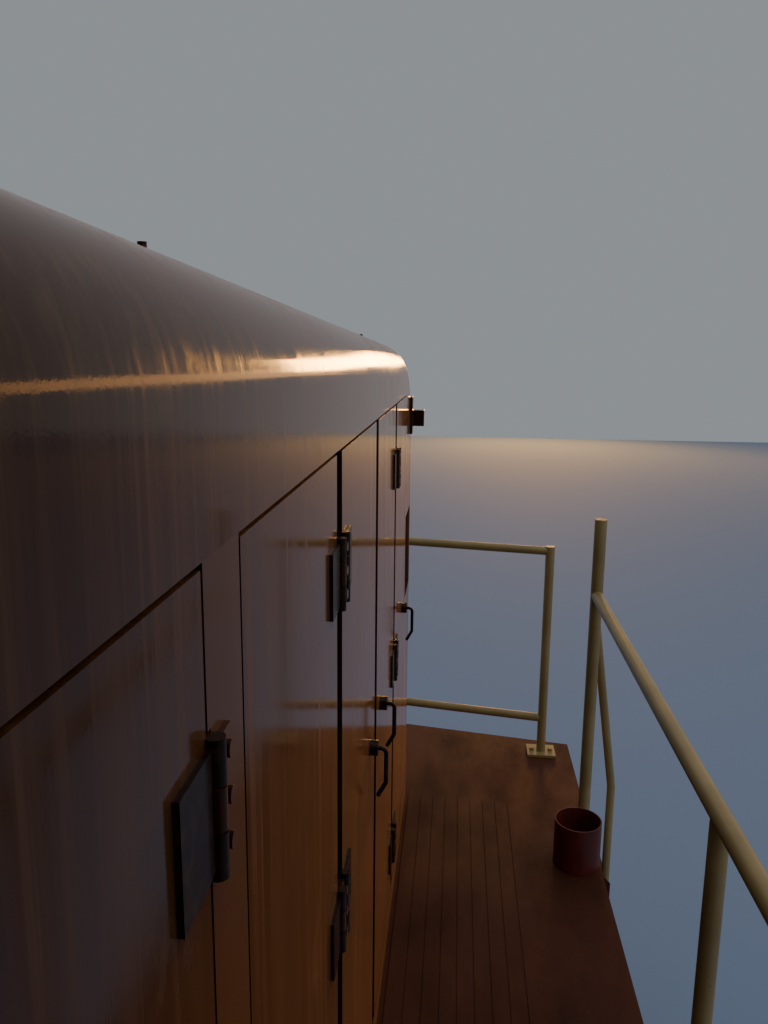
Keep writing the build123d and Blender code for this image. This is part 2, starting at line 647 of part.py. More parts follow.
ROOF_T = 45.0
ROOF_OVER = 70.0
roof_half_w = CAB_HALF_W + 30
outer_arc = arch(roof_half_w, eaves_z, ROOF_RISE + ROOF_T)
inner_arc = arch(roof_half_w - 25, eaves_z, ROOF_RISE)
roof_edges = [Line(outer_arc @ 1, inner_arc @ 1), Line(inner_arc @ 0, outer_arc @ 0)]
roof_face = make_face([outer_arc, inner_arc] + roof_edges)
roof_long = CAB_HALF_L + ROOF_OVER
cab_roof = extrude(Pos(-roof_long, 0, 0) * roof_face, 2 * roof_long, dir=(1, 0, 0))
save("cab_roof", [cab_roof])
gable_face = make_face([inner_arc, Line(inner_arc @ 1, inner_arc @ 0)])
gable = extrude(Pos(in_x, 0, 0) * gable_face, WALL, dir=(1, 0, 0))
CAB_DOOR_W = 600.0
CAB_DOOR_Y = (-CAB_HALF_W + 118.0, -CAB_HALF_W + 118.0 + CAB_DOOR_W)
CAB_DOOR_H = 1950.0
end_window_y = (CAB_DOOR_Y[0] + 40.0, CAB_DOOR_Y[1] - 40.0)
gable = gable & box(in_x, CAB_HALF_L, -in_y, in_y, eaves_z, eaves_z + 2 * ROOF_RISE)
cab_end = box(in_x, CAB_HALF_L, -in_y, in_y, DECK_TOP, eaves_z) + gable
cab_end = cab_end - box(0, 2000, *CAB_DOOR_Y, cab_floor_z, cab_floor_z + CAB_DOOR_H)
cab_end = cab_end - box(0, 2000, -end_window_y[0], -end_window_y[1], window_z0, window_z1)
hood_windows = ((-560.0, -60.0), (60.0, 560.0))
hood_window_z = (hood_top + 60, eaves_z + 40)
for y0, y1 in hood_windows:
    cab_end = cab_end - box(0, 2000, y0, y1, *hood_window_z)
save("cab_ends", [cab_end, Rot(0, 0, 180) * cab_end])
GLASS_T = 6.0
mid_wall = WALL / 2
panes = []
pane_y = -CAB_HALF_W + mid_wall
for x0, x1 in SIDE_WINDOWS:
    panes.append(box(x0, x1, pane_y, pane_y + GLASS_T, window_z0, window_z1))
side_panes = panes + [mirror(pane, Plane.XZ) for pane in panes]
glass_x = CAB_HALF_L - mid_wall
pane_x = (glass_x, glass_x + GLASS_T)
end_panes = [box(*pane_x, -end_window_y[0], -end_window_y[1], window_z0, window_z1)]
for y0, y1 in hood_windows:
    end_panes.append(box(*pane_x, y0, y1, *hood_window_z))
save("cab_glass", side_panes + end_panes + [Rot(0, 0, 180) * pane for pane in end_panes])

# Cab doors, opening inwards on hinges at the outer jamb
door_y0 = CAB_DOOR_Y[0] + DOOR_GAP
door_y1 = CAB_DOOR_Y[1] - DOOR_GAP
door_z = (cab_floor_z + DOOR_GAP, cab_floor_z + CAB_DOOR_H - DOOR_GAP)
cab_door = box(in_x, CAB_HALF_L, door_y0, door_y1, *door_z)
cab_door = cab_door - box(0, 2000, door_y0 + 90, door_y1 - 90, window_z0, window_z1)
CAB_AXIS = (in_x - 10, CAB_DOOR_Y[0])
CAB_BARREL_R = 9.0
for z in (250.0, 975.0, 1700.0):
    low = cab_floor_z + z - 50
    high = cab_floor_z + z + 50
    cab_door = cab_door + box(CAB_AXIS[0] - 2, in_x, CAB_AXIS[1] + 4, door_y0 + 50, low, high)
    cab_door = cab_door + rod((*CAB_AXIS, low), (*CAB_AXIS, high), CAB_BARREL_R)
save("cab_door_front", [cab_door])
save("cab_door_rear", [Rot(0, 0, 180) * cab_door])

# Seats and the control stand
seat_y = -CAB_HALF_W + 428.0
seat_parts = [
    rod((0, seat_y, cab_floor_z), (0, seat_y, cab_floor_z + 430), 50),
    box(-220, 220, seat_y - 220, seat_y + 220, cab_floor_z + 430, cab_floor_z + 520),
    box(-200, 200, seat_y - 220, seat_y - 140, cab_floor_z + 520, cab_floor_z + 950),
]
seat = fuse(seat_parts)
save("cab_seats", [seat, mirror(seat, Plane.XZ)])
# columns: distance from the middle, height over the cab floor
STAND_HALF = ((90.0, 1150.0), (330.0, 950.0), (330.0, 0.0))
stand_outline = [(-y, cab_floor_z + z) for y, z in reversed(STAND_HALF)]
stand_outline = stand_outline + [(y, cab_floor_z + z) for y, z in STAND_HALF]
stand_face = make_face(Polyline(*[(-300, y, z) for y, z in stand_outline], close=True))
save("control_stand", [extrude(stand_face, 600, dir=(1, 0, 0))])

# Horn on the cab roof
horn_z = eaves_z + ROOF_RISE + ROOF_T
horn = rod((0, 0, horn_z - 20), (0, 0, horn_z + 90), 30) - cab_roof
TRUMPET_LINE = ((-180, 0), (-180, 22), (60, 24), (190, 55), (200, 55), (200, 0))
trumpet = revolve(make_face(Polyline(*TRUMPET_LINE, close=True)), Axis.X)
for y in (-90.0, 0.0, 90.0):
    horn = horn + Pos(0, y, horn_z + 90) * trumpet
horn = horn + box(-30, 30, -100, 100, horn_z + 60, horn_z + 90)
save("horn", [horn])

# Trucks: side frames with pedestals, bolster, transoms, journal boxes and motors, in one casting
SIDE_IN = 960.0
SIDE_OUT = 1080.0
PEDESTAL_HALF = 150.0
half_base = WHEELBASE / 2
# columns: distance from the truck's middle, height over the flanges' lowest point
HALF_FRAME = (
    (1270.0, 960.0),
    (1450.0, 860.0),
    (1450.0, 720.0),
    (half_base + 240, 720.0),
    (half_base + 240, 420.0),
    (half_base + PEDESTAL_HALF, 420.0),
    (half_base + PEDESTAL_HALF, 760.0),
    (half_base - PEDESTAL_HALF, 760.0),
    (half_base - PEDESTAL_HALF, 420.0),
    (500.0, 330.0),
)
frame_outline = list(HALF_FRAME) + [(-x, z) for x, z in reversed(HALF_FRAME)]
side_frame = side_view(frame_outline, -SIDE_OUT, -SIDE_IN)
side_frame = side_frame - box(-400, 400, -SIDE_OUT - 1, -SIDE_IN + 1, 430, 810)
for side in (-1, 1):
    hole = [(side * 500, 470), (side * 500, 800), (side * 820, 800), (side * 820, 520)]
    side_frame = side_frame - side_view(hole, -SIDE_OUT - 1, -SIDE_IN + 1)
BOX_HALF = 140.0
BOX_OUT = 1200.0
truck_pieces = [side_frame]
for x in (-half_base, half_base):
    truck_pieces.append(box(x - BOX_HALF, x + BOX_HALF, -BOX_OUT, -SIDE_IN + 20, AXLE_Z - 150, AXLE_Z + 150))
    truck_pieces.append(box(x - 70, x + 70, -SIDE_OUT, -SIDE_IN, AXLE_Z + 150, 770))
half_truck = fuse(truck_pieces)
motors = []
for side in (-1, 1):
    motors.append(rod((side * 620, -480, 560), (side * 620, 480, 560), 290))
# columns: half length, half width, bottom, top of the bolster's blocks
BOLSTER_BLOCKS = (
    (170.0, SIDE_OUT, 700.0, 800.0),
    (300.0, SIDE_IN + 10, 820.0, 930.0),
    (170.0, 500.0, 790.0, 940.0),
    (360.0, 300.0, 480.0, 830.0),
)
bolster = rod((0, 0, 900), (0, 0, CENTRE_PLATE_Z), CENTRE_PLATE_R + 40)
for half_x, half_y, z0, z1 in BOLSTER_BLOCKS:
    bolster = bolster + box(-half_x, half_x, -half_y, half_y, z0, z1)
truck = fuse([half_truck, mirror(half_truck, Plane.XZ), bolster] + motors)
for x in (-half_base, half_base):
    for side in (-1, 1):
        start = (x, side * (SIDE_IN - 30), AXLE_Z)
        truck = truck - rod(start, (x, side * (BOX_OUT - 30), AXLE_Z), JOURNAL_R + JOURNAL_CLEAR)
save("truck_frame_front", [Pos(TRUCK_X, 0, 0) * truck])
save("truck_frame_rear", [Pos(-TRUCK_X, 0, 0) * truck])
springs = []
for side in (-1, 1):
    for x in (-260, 260):
        springs.append(rod((x, side * 1020, 430), (x, side * 1020, 700), 62))
        springs[-1] = springs[-1] - bolster
for name, x in (("front", TRUCK_X), ("rear", -TRUCK_X)):
    save(f"truck_springs_{name}", [Pos(x, 0, 0) * piece for piece in springs])

# Wheelsets: two wheels pressed on an axle with outside journals, turned as one profile
in_face = BACK_TO_BACK / 2
out_face = in_face + RIM_W
RIM_T = 70.0
HUB_R = 150.0
JOURNAL_END = 1150.0
# columns: distance from the middle, radius
HALF_PROFILE = (
    (0.0, AXLE_R),
    (in_face - 30, AXLE_R),
    (in_face - 30, HUB_R),
    (in_face + 35, HUB_R + 20),
    (in_face + 10, TREAD_R - RIM_T - 20),
    (in_face, TREAD_R - RIM_T),
    (in_face, FLANGE_R - 6),
    (in_face + 8, FLANGE_R),
    (in_face + 22, FLANGE_R - 4),
    (in_face + 34, TREAD_R + 2),
    (out_face - 8, TREAD_R - 4),
    (out_face, TREAD_R - 10),
    (out_face, TREAD_R - RIM_T),
    (out_face - 60, TREAD_R - RIM_T - 20),
    (out_face - 45, HUB_R + 20),
    (out_face + 20, HUB_R),
    (out_face + 20, AXLE_R),
    (SIDE_IN - 60, AXLE_R),
    (SIDE_IN - 40, JOURNAL_R),
    (JOURNAL_END, JOURNAL_R),
    (JOURNAL_END, 0.0),
)
right_half = [(radius, along, 0) for along, radius in HALF_PROFILE]
left_half = [(radius, -along, 0) for along, radius in reversed(HALF_PROFILE)]
profile = make_face(Polyline(*(left_half + right_half[1:]), close=True))
wheelset = revolve(profile, Axis.Y)
axles = (TRUCK_X + half_base, TRUCK_X - half_base, half_base - TRUCK_X, -half_base - TRUCK_X)
for number, x in enumerate(axles, 1):
    save(f"wheelset_{number}", [Pos(x, 0, AXLE_Z) * wheelset])

# Couplers: shank on a pin, head with guard arm and closed knuckle
HEAD_X = DECK_END_X + 214.0
FACE_X = HEAD_X + 450.0
shank = box(PIVOT_X - 100, HEAD_X + 60, -65, 65, COUPLER_Z - SHANK_HALF, COUPLER_Z + SHANK_HALF)
# columns: x, y of the head and of the knuckle, seen from above
head_outline = [
    (HEAD_X, -70),
    (HEAD_X + 80, -150),
    (HEAD_X + 260, -170),
    (HEAD_X + 250, -30),
    (HEAD_X + 265, 40),
    (HEAD_X + 330, 95),
    (FACE_X - 40, 190),
    (FACE_X - 70, 235),
    (HEAD_X + 200, 190),
    (HEAD_X + 60, 120),
    (HEAD_X, 70),
]
knuckle_outline = [
    (HEAD_X + 240, -165),
    (FACE_X - 90, -165),
    (FACE_X, -110),
    (FACE_X, -25),
    (FACE_X - 40, 5),
    (FACE_X - 100, -15),
    (FACE_X - 110, -70),
    (HEAD_X + 240, -60),
]
coupler = shank + plan(head_outline, COUPLER_Z - 130, COUPLER_Z + 130)
coupler = coupler + plan(knuckle_outline, COUPLER_Z - 115, COUPLER_Z + 115)
coupler = coupler + rod((PIVOT_X, 0, COUPLER_Z - 110), (PIVOT_X, 0, COUPLER_Z + 110), PIN_R)
save("coupler_front", [coupler])
save("coupler_rear", [Rot(0, 0, 180) * coupler])
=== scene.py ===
import bpy
import json
import math
from mathutils import Matrix, Vector

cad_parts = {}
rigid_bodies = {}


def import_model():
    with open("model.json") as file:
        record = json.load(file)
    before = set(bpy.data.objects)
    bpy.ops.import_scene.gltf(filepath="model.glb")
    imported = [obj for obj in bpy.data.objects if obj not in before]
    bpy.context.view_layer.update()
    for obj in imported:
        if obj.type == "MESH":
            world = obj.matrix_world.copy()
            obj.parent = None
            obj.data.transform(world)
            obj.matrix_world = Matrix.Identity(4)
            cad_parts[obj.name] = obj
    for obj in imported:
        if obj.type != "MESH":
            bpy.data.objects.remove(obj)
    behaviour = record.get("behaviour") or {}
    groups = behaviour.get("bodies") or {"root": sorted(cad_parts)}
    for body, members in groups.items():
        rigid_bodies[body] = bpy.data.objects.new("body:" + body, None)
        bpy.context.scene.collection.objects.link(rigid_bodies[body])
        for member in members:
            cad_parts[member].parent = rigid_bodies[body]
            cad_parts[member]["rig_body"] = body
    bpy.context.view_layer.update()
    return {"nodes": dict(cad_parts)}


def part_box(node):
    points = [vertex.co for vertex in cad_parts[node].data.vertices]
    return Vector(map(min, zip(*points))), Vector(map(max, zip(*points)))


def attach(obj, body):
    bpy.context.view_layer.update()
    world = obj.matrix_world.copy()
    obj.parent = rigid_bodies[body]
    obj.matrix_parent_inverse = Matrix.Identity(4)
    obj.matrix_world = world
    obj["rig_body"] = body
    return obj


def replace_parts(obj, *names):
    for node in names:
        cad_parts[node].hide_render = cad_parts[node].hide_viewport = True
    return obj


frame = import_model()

bpy.ops.object.select_all(action="DESELECT")

# The viewpoint: an eye at the cab's end beside the hood, 1.95 m over the deck, looking along the walkway.
# The lens and the turn come from the photograph's vanishing point and its upright lines.
deck_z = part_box("deck_plate")[1].z
cab_end_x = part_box("cab_ends")[1].x
hood_side_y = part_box("hood_sills")[0].y
eye = Vector((cab_end_x + 0.10, hood_side_y - 0.192, deck_z + 1.95))
eye_right = Vector((0.0890, -0.9960, 0.0093))
eye_forward = Vector((0.9779, 0.0856, -0.1906))
eye_up = eye_right.cross(eye_forward).normalized()
bpy.ops.object.camera_add(location=eye)
camera = bpy.context.object
eye_turn = Matrix((eye_right, eye_up, -eye_forward)).transposed().to_4x4()
camera.matrix_world = Matrix.Translation(eye) @ eye_turn
camera.data.sensor_width = 36.0
camera.data.lens = 29.11
camera.data.clip_start = 0.01
camera.data.clip_end = 400.0
bpy.context.scene.camera = camera


# The stand: a pale floor under the wheels, an even pale surround, one broad lamp overhead, and warm lamps
# low ahead and along the right, where the photograph's light comes from.
def tuned(node, values):
    """Sets a node's inputs, by name, each to a plain value or to another node's output."""
    for name, value in values.items():
        if isinstance(value, bpy.types.NodeSocket):
            node.id_data.links.new(value, node.inputs[name])
        else:
            node.inputs[name].default_value = value


bpy.ops.mesh.primitive_plane_add(size=70.0, location=(0, 0, 0))
floor = bpy.context.object
floor.name = "floor"
floor_paint = bpy.data.materials.new("floor_paint")
floor_paint.use_nodes = True
floor_shader = floor_paint.node_tree.nodes["Principled BSDF"]
tuned(floor_shader, {"Base Color": (0.27, 0.36, 0.52, 1), "Roughness": 0.85})
floor.data.materials.append(floor_paint)
surround = bpy.data.worlds.new("surround")
surround.use_nodes = True
tuned(surround.node_tree.nodes["Background"], {"Color": (0.74, 0.80, 0.86, 1), "Strength": 0.37})
bpy.context.scene.world = surround
# columns: name, place, looks at, width, height, power, colour
LAMPS = (
    ("lamp_overhead", (2.0, -6.0, 16.0), (1.0, 0.0, 2.0), 12.0, 12.0, 240.0, (0.92, 0.95, 1.0)),
    ("lamp_ahead", (36.0, -3.9, 5.2), (4.0, -1.0, 3.0), 5.5, 1.5, 1450.0, (1.0, 0.45, 0.08)),
    ("lamp_horizon", (26.0, -19.0, 4.4), (3.0, -1.0, 3.0), 34.0, 1.3, 260.0, (1.0, 0.46, 0.13)),
)
for name, place, target, width, height, power, colour in LAMPS:
    bpy.ops.object.light_add(type="AREA", location=place)
    lamp = bpy.context.object
    lamp.name = name
    lamp.rotation_mode = "QUATERNION"
    lamp.rotation_quaternion = (Vector(target) - Vector(place)).to_track_quat("-Z", "Y")
    lamp.data.shape = "RECTANGLE"
    lamp.data.size = width
    lamp.data.size_y = height
    lamp.data.energy = power
    lamp.data.color = colour
    lamp.visible_camera = False


# Hood sheet metal: pressed steel sprayed a glossy dark maroon, slightly wavy between its stiffeners, with
# upright streaks of dried dirt. The recessed posts between the doors carry painted shade, near black, and are
# dull.
def new_finish(name, roughness, metallic=0.0):
    """A material, its shader and the place to draw patterns from."""
    material = bpy.data.materials.new(name)
    material.use_nodes = True
    nodes = material.node_tree.nodes
    shader = nodes["Principled BSDF"]
    tuned(shader, {"Roughness": roughness, "Metallic": metallic})
    place = nodes.new("ShaderNodeTexCoord").outputs["Object"]
    return material, shader, place


def cloud(material, place, scale, stretch=(1, 1, 1), detail=4.0, roughness=0.55):
    """A noise pattern, stretched along an axis where stretch is small."""
    mapping = material.node_tree.nodes.new("ShaderNodeMapping")
    tuned(mapping, {"Scale": stretch, "Vector": place})
    noise = material.node_tree.nodes.new("ShaderNodeTexNoise")
    tuned(noise, {"Scale": scale, "Detail": detail, "Roughness": roughness})
    tuned(noise, {"Vector": mapping.outputs["Vector"]})
    return noise.outputs["Fac"]


def graded(material, value, stops):
    """The colours of stops, read by value."""
    ramp = material.node_tree.nodes.new("ShaderNodeValToRGB")
    elements = ramp.color_ramp.elements
    while len(elements) < len(stops):
        elements.new(0.5)
    for element, (at, colour) in zip(elements, stops):
        element.position = at
        element.color = (*colour, 1.0)
    tuned(ramp, {"Fac": value})
    return ramp.outputs["Color"]


def grey(low, high, dark=0.0, light=1.0):
    """Two stops for a mask that rises from low to high."""
    return ((low, (dark, dark, dark)), (high, (light, light, light)))


def mixed(material, factor, under, over):
    """Colour under where factor is 0, over where it is 1. Either may be a colour or an output."""
    nodes, links = material.node_tree.nodes, material.node_tree.links
    mix = nodes.new("ShaderNodeMix")
    mix.data_type = "RGBA"
    links.new(factor, mix.inputs["Factor"])
    for name, value in (("A", under), ("B", over)):
        socket = [s for s in mix.inputs if s.name == name and s.type == "RGBA"][0]
        if isinstance(value, tuple):
            socket.default_value = (*value, 1.0)
        else:
            links.new(value, socket)
    return [s for s in mix.outputs if s.type == "RGBA"][0]


def reckoned(material, operation, first, second):
    """A Math node on two values, each an output or a number."""
    nodes, links = material.node_tree.nodes, material.node_tree.links
    math_node = nodes.new("ShaderNodeMath")
    math_node.operation = operation
    for socket, value in zip(math_node.inputs, (first, second)):
        if isinstance(value, (int, float)):
            socket.default_value = value
        else:
            links.new(value, socket)
    return math_node.outputs["Value"]


def roughened(material, shader, height, strength, depth, under=None):
    """Bump from height, over the bump of under where that is given."""
    bump = material.node_tree.nodes.new("ShaderNodeBump")
    tuned(bump, {"Strength": strength, "Distance": depth, "Height": height})
    if under is not None:
        tuned(bump, {"Normal": under})
    tuned(shader, {"Normal": bump.outputs["Normal"]})
    return bump.outputs["Normal"]


def mottled(name, roughness, scale, detail, first, second, metallic=0.0, stretch=(1, 1, 1), grain=()):
    """A finish that clouds between two stops of place and colour. Grain gives its bump's scale (0 for the
    clouds themselves), strength and depth."""
    material, shader, place = new_finish(name, roughness, metallic)
    pattern = cloud(material, place, scale, stretch, detail)
    tuned(shader, {"Base Color": graded(material, pattern, (first, second))})
    if grain:
        height = cloud(material, place, grain[0]) if grain[0] else pattern
        roughened(material, shader, height, *grain[1:])
    return material


def picked(piece):
    """Makes piece the one selected object."""
    bpy.ops.object.select_all(action="DESELECT")
    bpy.context.view_layer.objects.active = piece
    piece.select_set(True)


def modified(piece, kind, **settings):
    """Adds one modifier to the selected piece and applies it."""
    modifier = piece.modifiers.new(kind, kind)
    for name, value in settings.items():
        setattr(modifier, name, value)
    bpy.ops.object.modifier_apply(modifier=kind)


def finished(piece, name, material, body, sharp_deg=38.0):
    """A piece with its name, its place in its mesh, its finish, and the body it rides on."""
    picked(piece)
    bpy.ops.object.transform_apply()
    bpy.ops.object.shade_smooth_by_angle(angle=math.radians(sharp_deg))
    modified(piece, "WEIGHTED_NORMAL", keep_sharp=True)
    piece.name = name
    piece.data.materials.clear()
    piece.data.materials.append(material)
    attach(piece, body)
    return piece


def skinned(node, material, edge=0.0, sharp_deg=38.0):
    """The finished sheet or casting of a CAD node: merged, its edges eased by edge metres."""
    source = frame["nodes"][node]
    piece = bpy.data.objects.new(node + "_finished", source.data.copy())
    bpy.context.scene.collection.objects.link(piece)
    picked(piece)
    bpy.ops.object.mode_set(mode="EDIT")
    bpy.ops.mesh.select_all(action="SELECT")
    bpy.ops.mesh.remove_doubles(threshold=0.00002)
    bpy.ops.mesh.dissolve_limited(angle_limit=math.radians(0.5))
    bpy.ops.object.mode_set(mode="OBJECT")
    if edge > 0:
        modified(piece, "BEVEL", width=edge, segments=2, limit_method="ANGLE", angle_limit=math.radians(50))
    finished(piece, node + "_finished", material, source["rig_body"], sharp_deg)
    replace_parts(piece, node)
    return piece


DUST = {"Sheen Tint": (1.0, 0.42, 0.14, 1), "Sheen Roughness": 0.45}
STREAK_COLOUR = (0.090, 0.052, 0.030)


def gloss_paint(name, fittings=False):
    """The hood's paint. With fittings, what stands proud of the hood's side is painted dark as painted shade,
    mottled by wear, and is dull.
    """
    paint, shader, place = new_finish(name, 0.16)
    tuned(shader, {"Specular Tint": (1.0, 0.72, 0.52, 1), "Specular IOR Level": 0.32, **DUST})
    broad = cloud(paint, place, 0.9, detail=3.0)
    base = graded(paint, broad, ((0.3, (0.028, 0.0080, 0.0045)), (0.7, (0.044, 0.0140, 0.0075))))
    runs = graded(paint, cloud(paint, place, 15.0, (1, 1, 0.04), 7.0, 0.66), grey(0.50, 0.78, 0.0, 0.7))
    faint = graded(paint, cloud(paint, place, 48.0, (1, 1, 0.025), 5.0, 0.65), grey(0.48, 0.80))
    smears = graded(paint, cloud(paint, place, 5.5, (1, 1, 0.6), 8.0, 0.7), grey(0.55, 0.72))
    patch = graded(paint, cloud(paint, place, 2.2, (1, 1, 0.7), 6.0, 0.6), grey(0.38, 0.66, 0.15))
    dirt = reckoned(paint, "MAXIMUM", reckoned(paint, "MAXIMUM", runs, faint), smears)
    dirt = reckoned(paint, "MULTIPLY", reckoned(paint, "MULTIPLY", dirt, patch), 0.85)
    colour = mixed(paint, dirt, base, STREAK_COLOUR)
    fine = graded(paint, cloud(paint, place, 5.0, detail=6.0), grey(0.3, 0.75, 0.05, 0.13))
    dulled = reckoned(paint, "ADD", reckoned(paint, "MULTIPLY", dirt, 0.26), fine)
    film = reckoned(paint, "ADD", reckoned(paint, "MULTIPLY", dirt, 0.40), 0.24)
    if fittings:
        parts = paint.node_tree.nodes.new("ShaderNodeSeparateXYZ")
        tuned(parts, {"Vector": place})
        off_middle = reckoned(paint, "ABSOLUTE", parts.outputs["Y"], 0.0)
        proud = reckoned(paint, "GREATER_THAN", off_middle, abs(hood_side_y) + 0.0015)
        wear = cloud(paint, place, 60.0, detail=6.0)
        # What stands proud (hinges, handles) is painted near black as painted shade, mottled lighter by wear.
        fitting_wear_and_shade = graded(paint, wear, ((0.5, (0.016, 0.007, 0.005)), (0.75, (0.06, 0.035, 0.022))))
        colour = mixed(paint, proud, colour, fitting_wear_and_shade)
        dulled = reckoned(paint, "ADD", dulled, reckoned(paint, "MULTIPLY", proud, 0.20))
        film = reckoned(paint, "SUBTRACT", film, reckoned(paint, "MULTIPLY", proud, 0.22))
    tuned(shader, {"Base Color": colour, "Roughness": dulled, "Sheen Weight": film})
    soft = roughened(paint, shader, cloud(paint, place, 1.5, (1, 1, 0.5), 2.0, 0.4), 0.10, 0.006)
    roughened(paint, shader, cloud(paint, place, 380.0, detail=2.0), 0.04, 0.001, soft)
    return paint


hood_paint = gloss_paint("hood_paint")
door_paint = gloss_paint("door_paint", fittings=True)

post_paint, post_shader, post_place = new_finish("post_paint", 0.5)
tuned(post_shader, {"Specular Tint": (1.0, 0.72, 0.55, 1), "Specular IOR Level": 0.34, **DUST})
split = post_paint.node_tree.nodes.new("ShaderNodeSeparateXYZ")
tuned(split, {"Vector": post_place})
from_middle = reckoned(post_paint, "ABSOLUTE", split.outputs["Y"], 0.0)
flush = reckoned(post_paint, "GREATER_THAN", from_middle, abs(hood_side_y) - 0.006)
post_dirt = cloud(post_paint, post_place, 14.0, (1, 1, 0.1))
# The recessed posts are painted near black: painted shade in the recesses between the proud doors.
sunk_painted_shade = graded(post_paint, post_dirt, ((0.3, (0.005, 0.0035, 0.003)), (0.75, (0.014, 0.009, 0.0065))))
post_colour = mixed(post_paint, flush, sunk_painted_shade, (0.033, 0.0115, 0.007))
post_gloss = reckoned(post_paint, "SUBTRACT", 0.62, reckoned(post_paint, "MULTIPLY", flush, 0.46))
tuned(post_shader, {"Base Color": post_colour, "Roughness": post_gloss, "Sheen Weight": 0.35})
roughened(post_paint, post_shader, post_dirt, 0.2, 0.002)
for node in ("hood_roofs", "hood_ends"):
    skinned(node, hood_paint)
skinned("hood_sills", hood_paint, 0.002)
skinned("hood_posts", post_paint, 0.001)
for node in sorted(frame["nodes"]):
    if node.startswith("door_"):
        skinned(node, door_paint, 0.0015)

# Cab shell: steel sheet welded over a frame, with an arched roof that hangs over the sides. It wears the
# hood's paint, and its two doors are sheet as well.
for node in ("cab_sides", "cab_ends", "cab_roof", "cab_door_front", "cab_door_rear"):
    skinned(node, hood_paint, 0.003)

# Exhaust stacks, headlight and corner lamp boxes and grab bars: steel fittings bolted to the hood and
# painted with it.
for node in ("headlights", "exhaust_stacks", "corner_lamps", "corner_grabs"):
    skinned(node, hood_paint, 0.001)


# Headlights: a spun bright rim and reflector for each lamp, behind a lens of pressed glass. Both stand on
# the front of the lamp box.
def turned(place, axis, profile, sides=32):
    """A round piece pulled out of one disc: radius and distance along the axis of each ring."""
    last_r, last_t = profile[0]
    base = (0, 0, last_t)
    bpy.ops.mesh.primitive_circle_add(vertices=sides, radius=last_r, fill_type="NGON", location=base)
    piece = bpy.context.object
    bpy.ops.object.mode_set(mode="EDIT")
    bpy.ops.mesh.select_all(action="SELECT")
    for radius, along in profile[1:]:
        bpy.ops.mesh.extrude_region_move(TRANSFORM_OT_translate={"value": (0, 0, along - last_t)})
        bpy.ops.transform.resize(value=(radius / last_r, radius / last_r, 1))
        last_r, last_t = radius, along
    bpy.ops.mesh.select_all(action="SELECT")
    bpy.ops.mesh.normals_make_consistent(inside=False)
    bpy.ops.object.mode_set(mode="OBJECT")
    bpy.ops.object.transform_apply()
    piece.rotation_mode = "QUATERNION"
    piece.rotation_quaternion = Vector(axis).to_track_quat("Z", "Y")
    piece.location = place
    bpy.ops.object.transform_apply()
    return piece


def joined(pieces):
    """One piece of several."""
    bpy.ops.object.select_all(action="DESELECT")
    for piece in pieces:
        piece.select_set(True)
    bpy.context.view_layer.objects.active = pieces[0]
    bpy.ops.object.join()
    return pieces[0]


def copied(piece, flip_x=False, flip_y=False):
    """A copy of piece, mirrored end for end or side for side."""
    twin = bpy.data.objects.new(piece.name, piece.data.copy())
    bpy.context.scene.collection.objects.link(twin)
    twin.data.transform(Matrix.Diagonal((-1 if flip_x else 1, -1 if flip_y else 1, 1, 1)))
    if flip_x != flip_y:
        twin.data.flip_normals()
    return twin


def lens_glass(name, colour):
    """Pressed glass of one colour, ribbed across."""
    material, shader, place = new_finish(name, 0.06)
    tuned(shader, {"Base Color": (*colour, 1), "Transmission Weight": 0.9, "IOR": 1.48})
    roughened(material, shader, cloud(material, place, 40.0, (0.2, 4, 0.2), 1.0), 0.3, 0.002)
    return material


bright, tarnished = (0.3, (0.55, 0.53, 0.50)), (0.7, (0.30, 0.28, 0.26))
chrome = mottled("bright_metal", 0.16, 18.0, 6.0, bright, tarnished, 1.0)
clear_lens = lens_glass("clear_lens", (0.92, 0.94, 0.92))
lamp_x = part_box("headlights")[1].x
lamp_z = (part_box("headlights")[0].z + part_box("headlights")[1].z) / 2
# columns: radius, distance from the rim's front edge
BOWL_LINE = (
    (0.084, -0.004), (0.084, 0.008), (0.078, 0.012), (0.072, 0.010), (0.070, 0.002), (0.045, 0.001),
    (0.012, 0.0005),
)
LENS_LINE = (
    (0.0695, 0.003), (0.0695, 0.006), (0.060, 0.012), (0.045, 0.017), (0.028, 0.0205), (0.010, 0.022),
)
LAMP_APART = 0.110
bowls = []
lenses = []
for lamp_y in (-LAMP_APART, LAMP_APART):
    at = (lamp_x, lamp_y, lamp_z)
    bowls.append(turned(at, (1, 0, 0), BOWL_LINE, 48))
    lenses.append(turned(at, (1, 0, 0), LENS_LINE, 48))
bowls, lenses = joined(bowls), joined(lenses)
for end, flip in (("front", False), ("rear", True)):
    finished(copied(bowls, flip), f"headlight_bowls_{end}", chrome, "locomotive", 30)
    finished(copied(lenses, flip), f"headlight_lenses_{end}", clear_lens, "locomotive", 60)
bpy.data.objects.remove(bowls)
bpy.data.objects.remove(lenses)

# Corner lamps: a small lens of amber glass on the end of each lamp box, turned with a raised rim and set
# in a ring.
amber_lens = lens_glass("amber_lens", (0.80, 0.30, 0.04))
corner_low, corner_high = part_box("corner_lamps")
amber_at = (corner_high.x - 0.010, corner_low.y + 0.028, corner_high.z - 0.086)
AMBER_LINE = (
    (0.022, -0.002), (0.022, 0.003), (0.019, 0.004), (0.018, 0.007), (0.012, 0.011), (0.004, 0.0125),
)
amber = turned(amber_at, (1, 0, 0), AMBER_LINE)
CORNERS = ((False, False), (False, True), (True, False), (True, True))
for number, (flip_x, flip_y) in enumerate(CORNERS, 1):
    twin = copied(amber, flip_x, flip_y)
    finished(twin, f"corner_lens_{number}", amber_lens, "locomotive", 60)
bpy.data.objects.remove(amber)

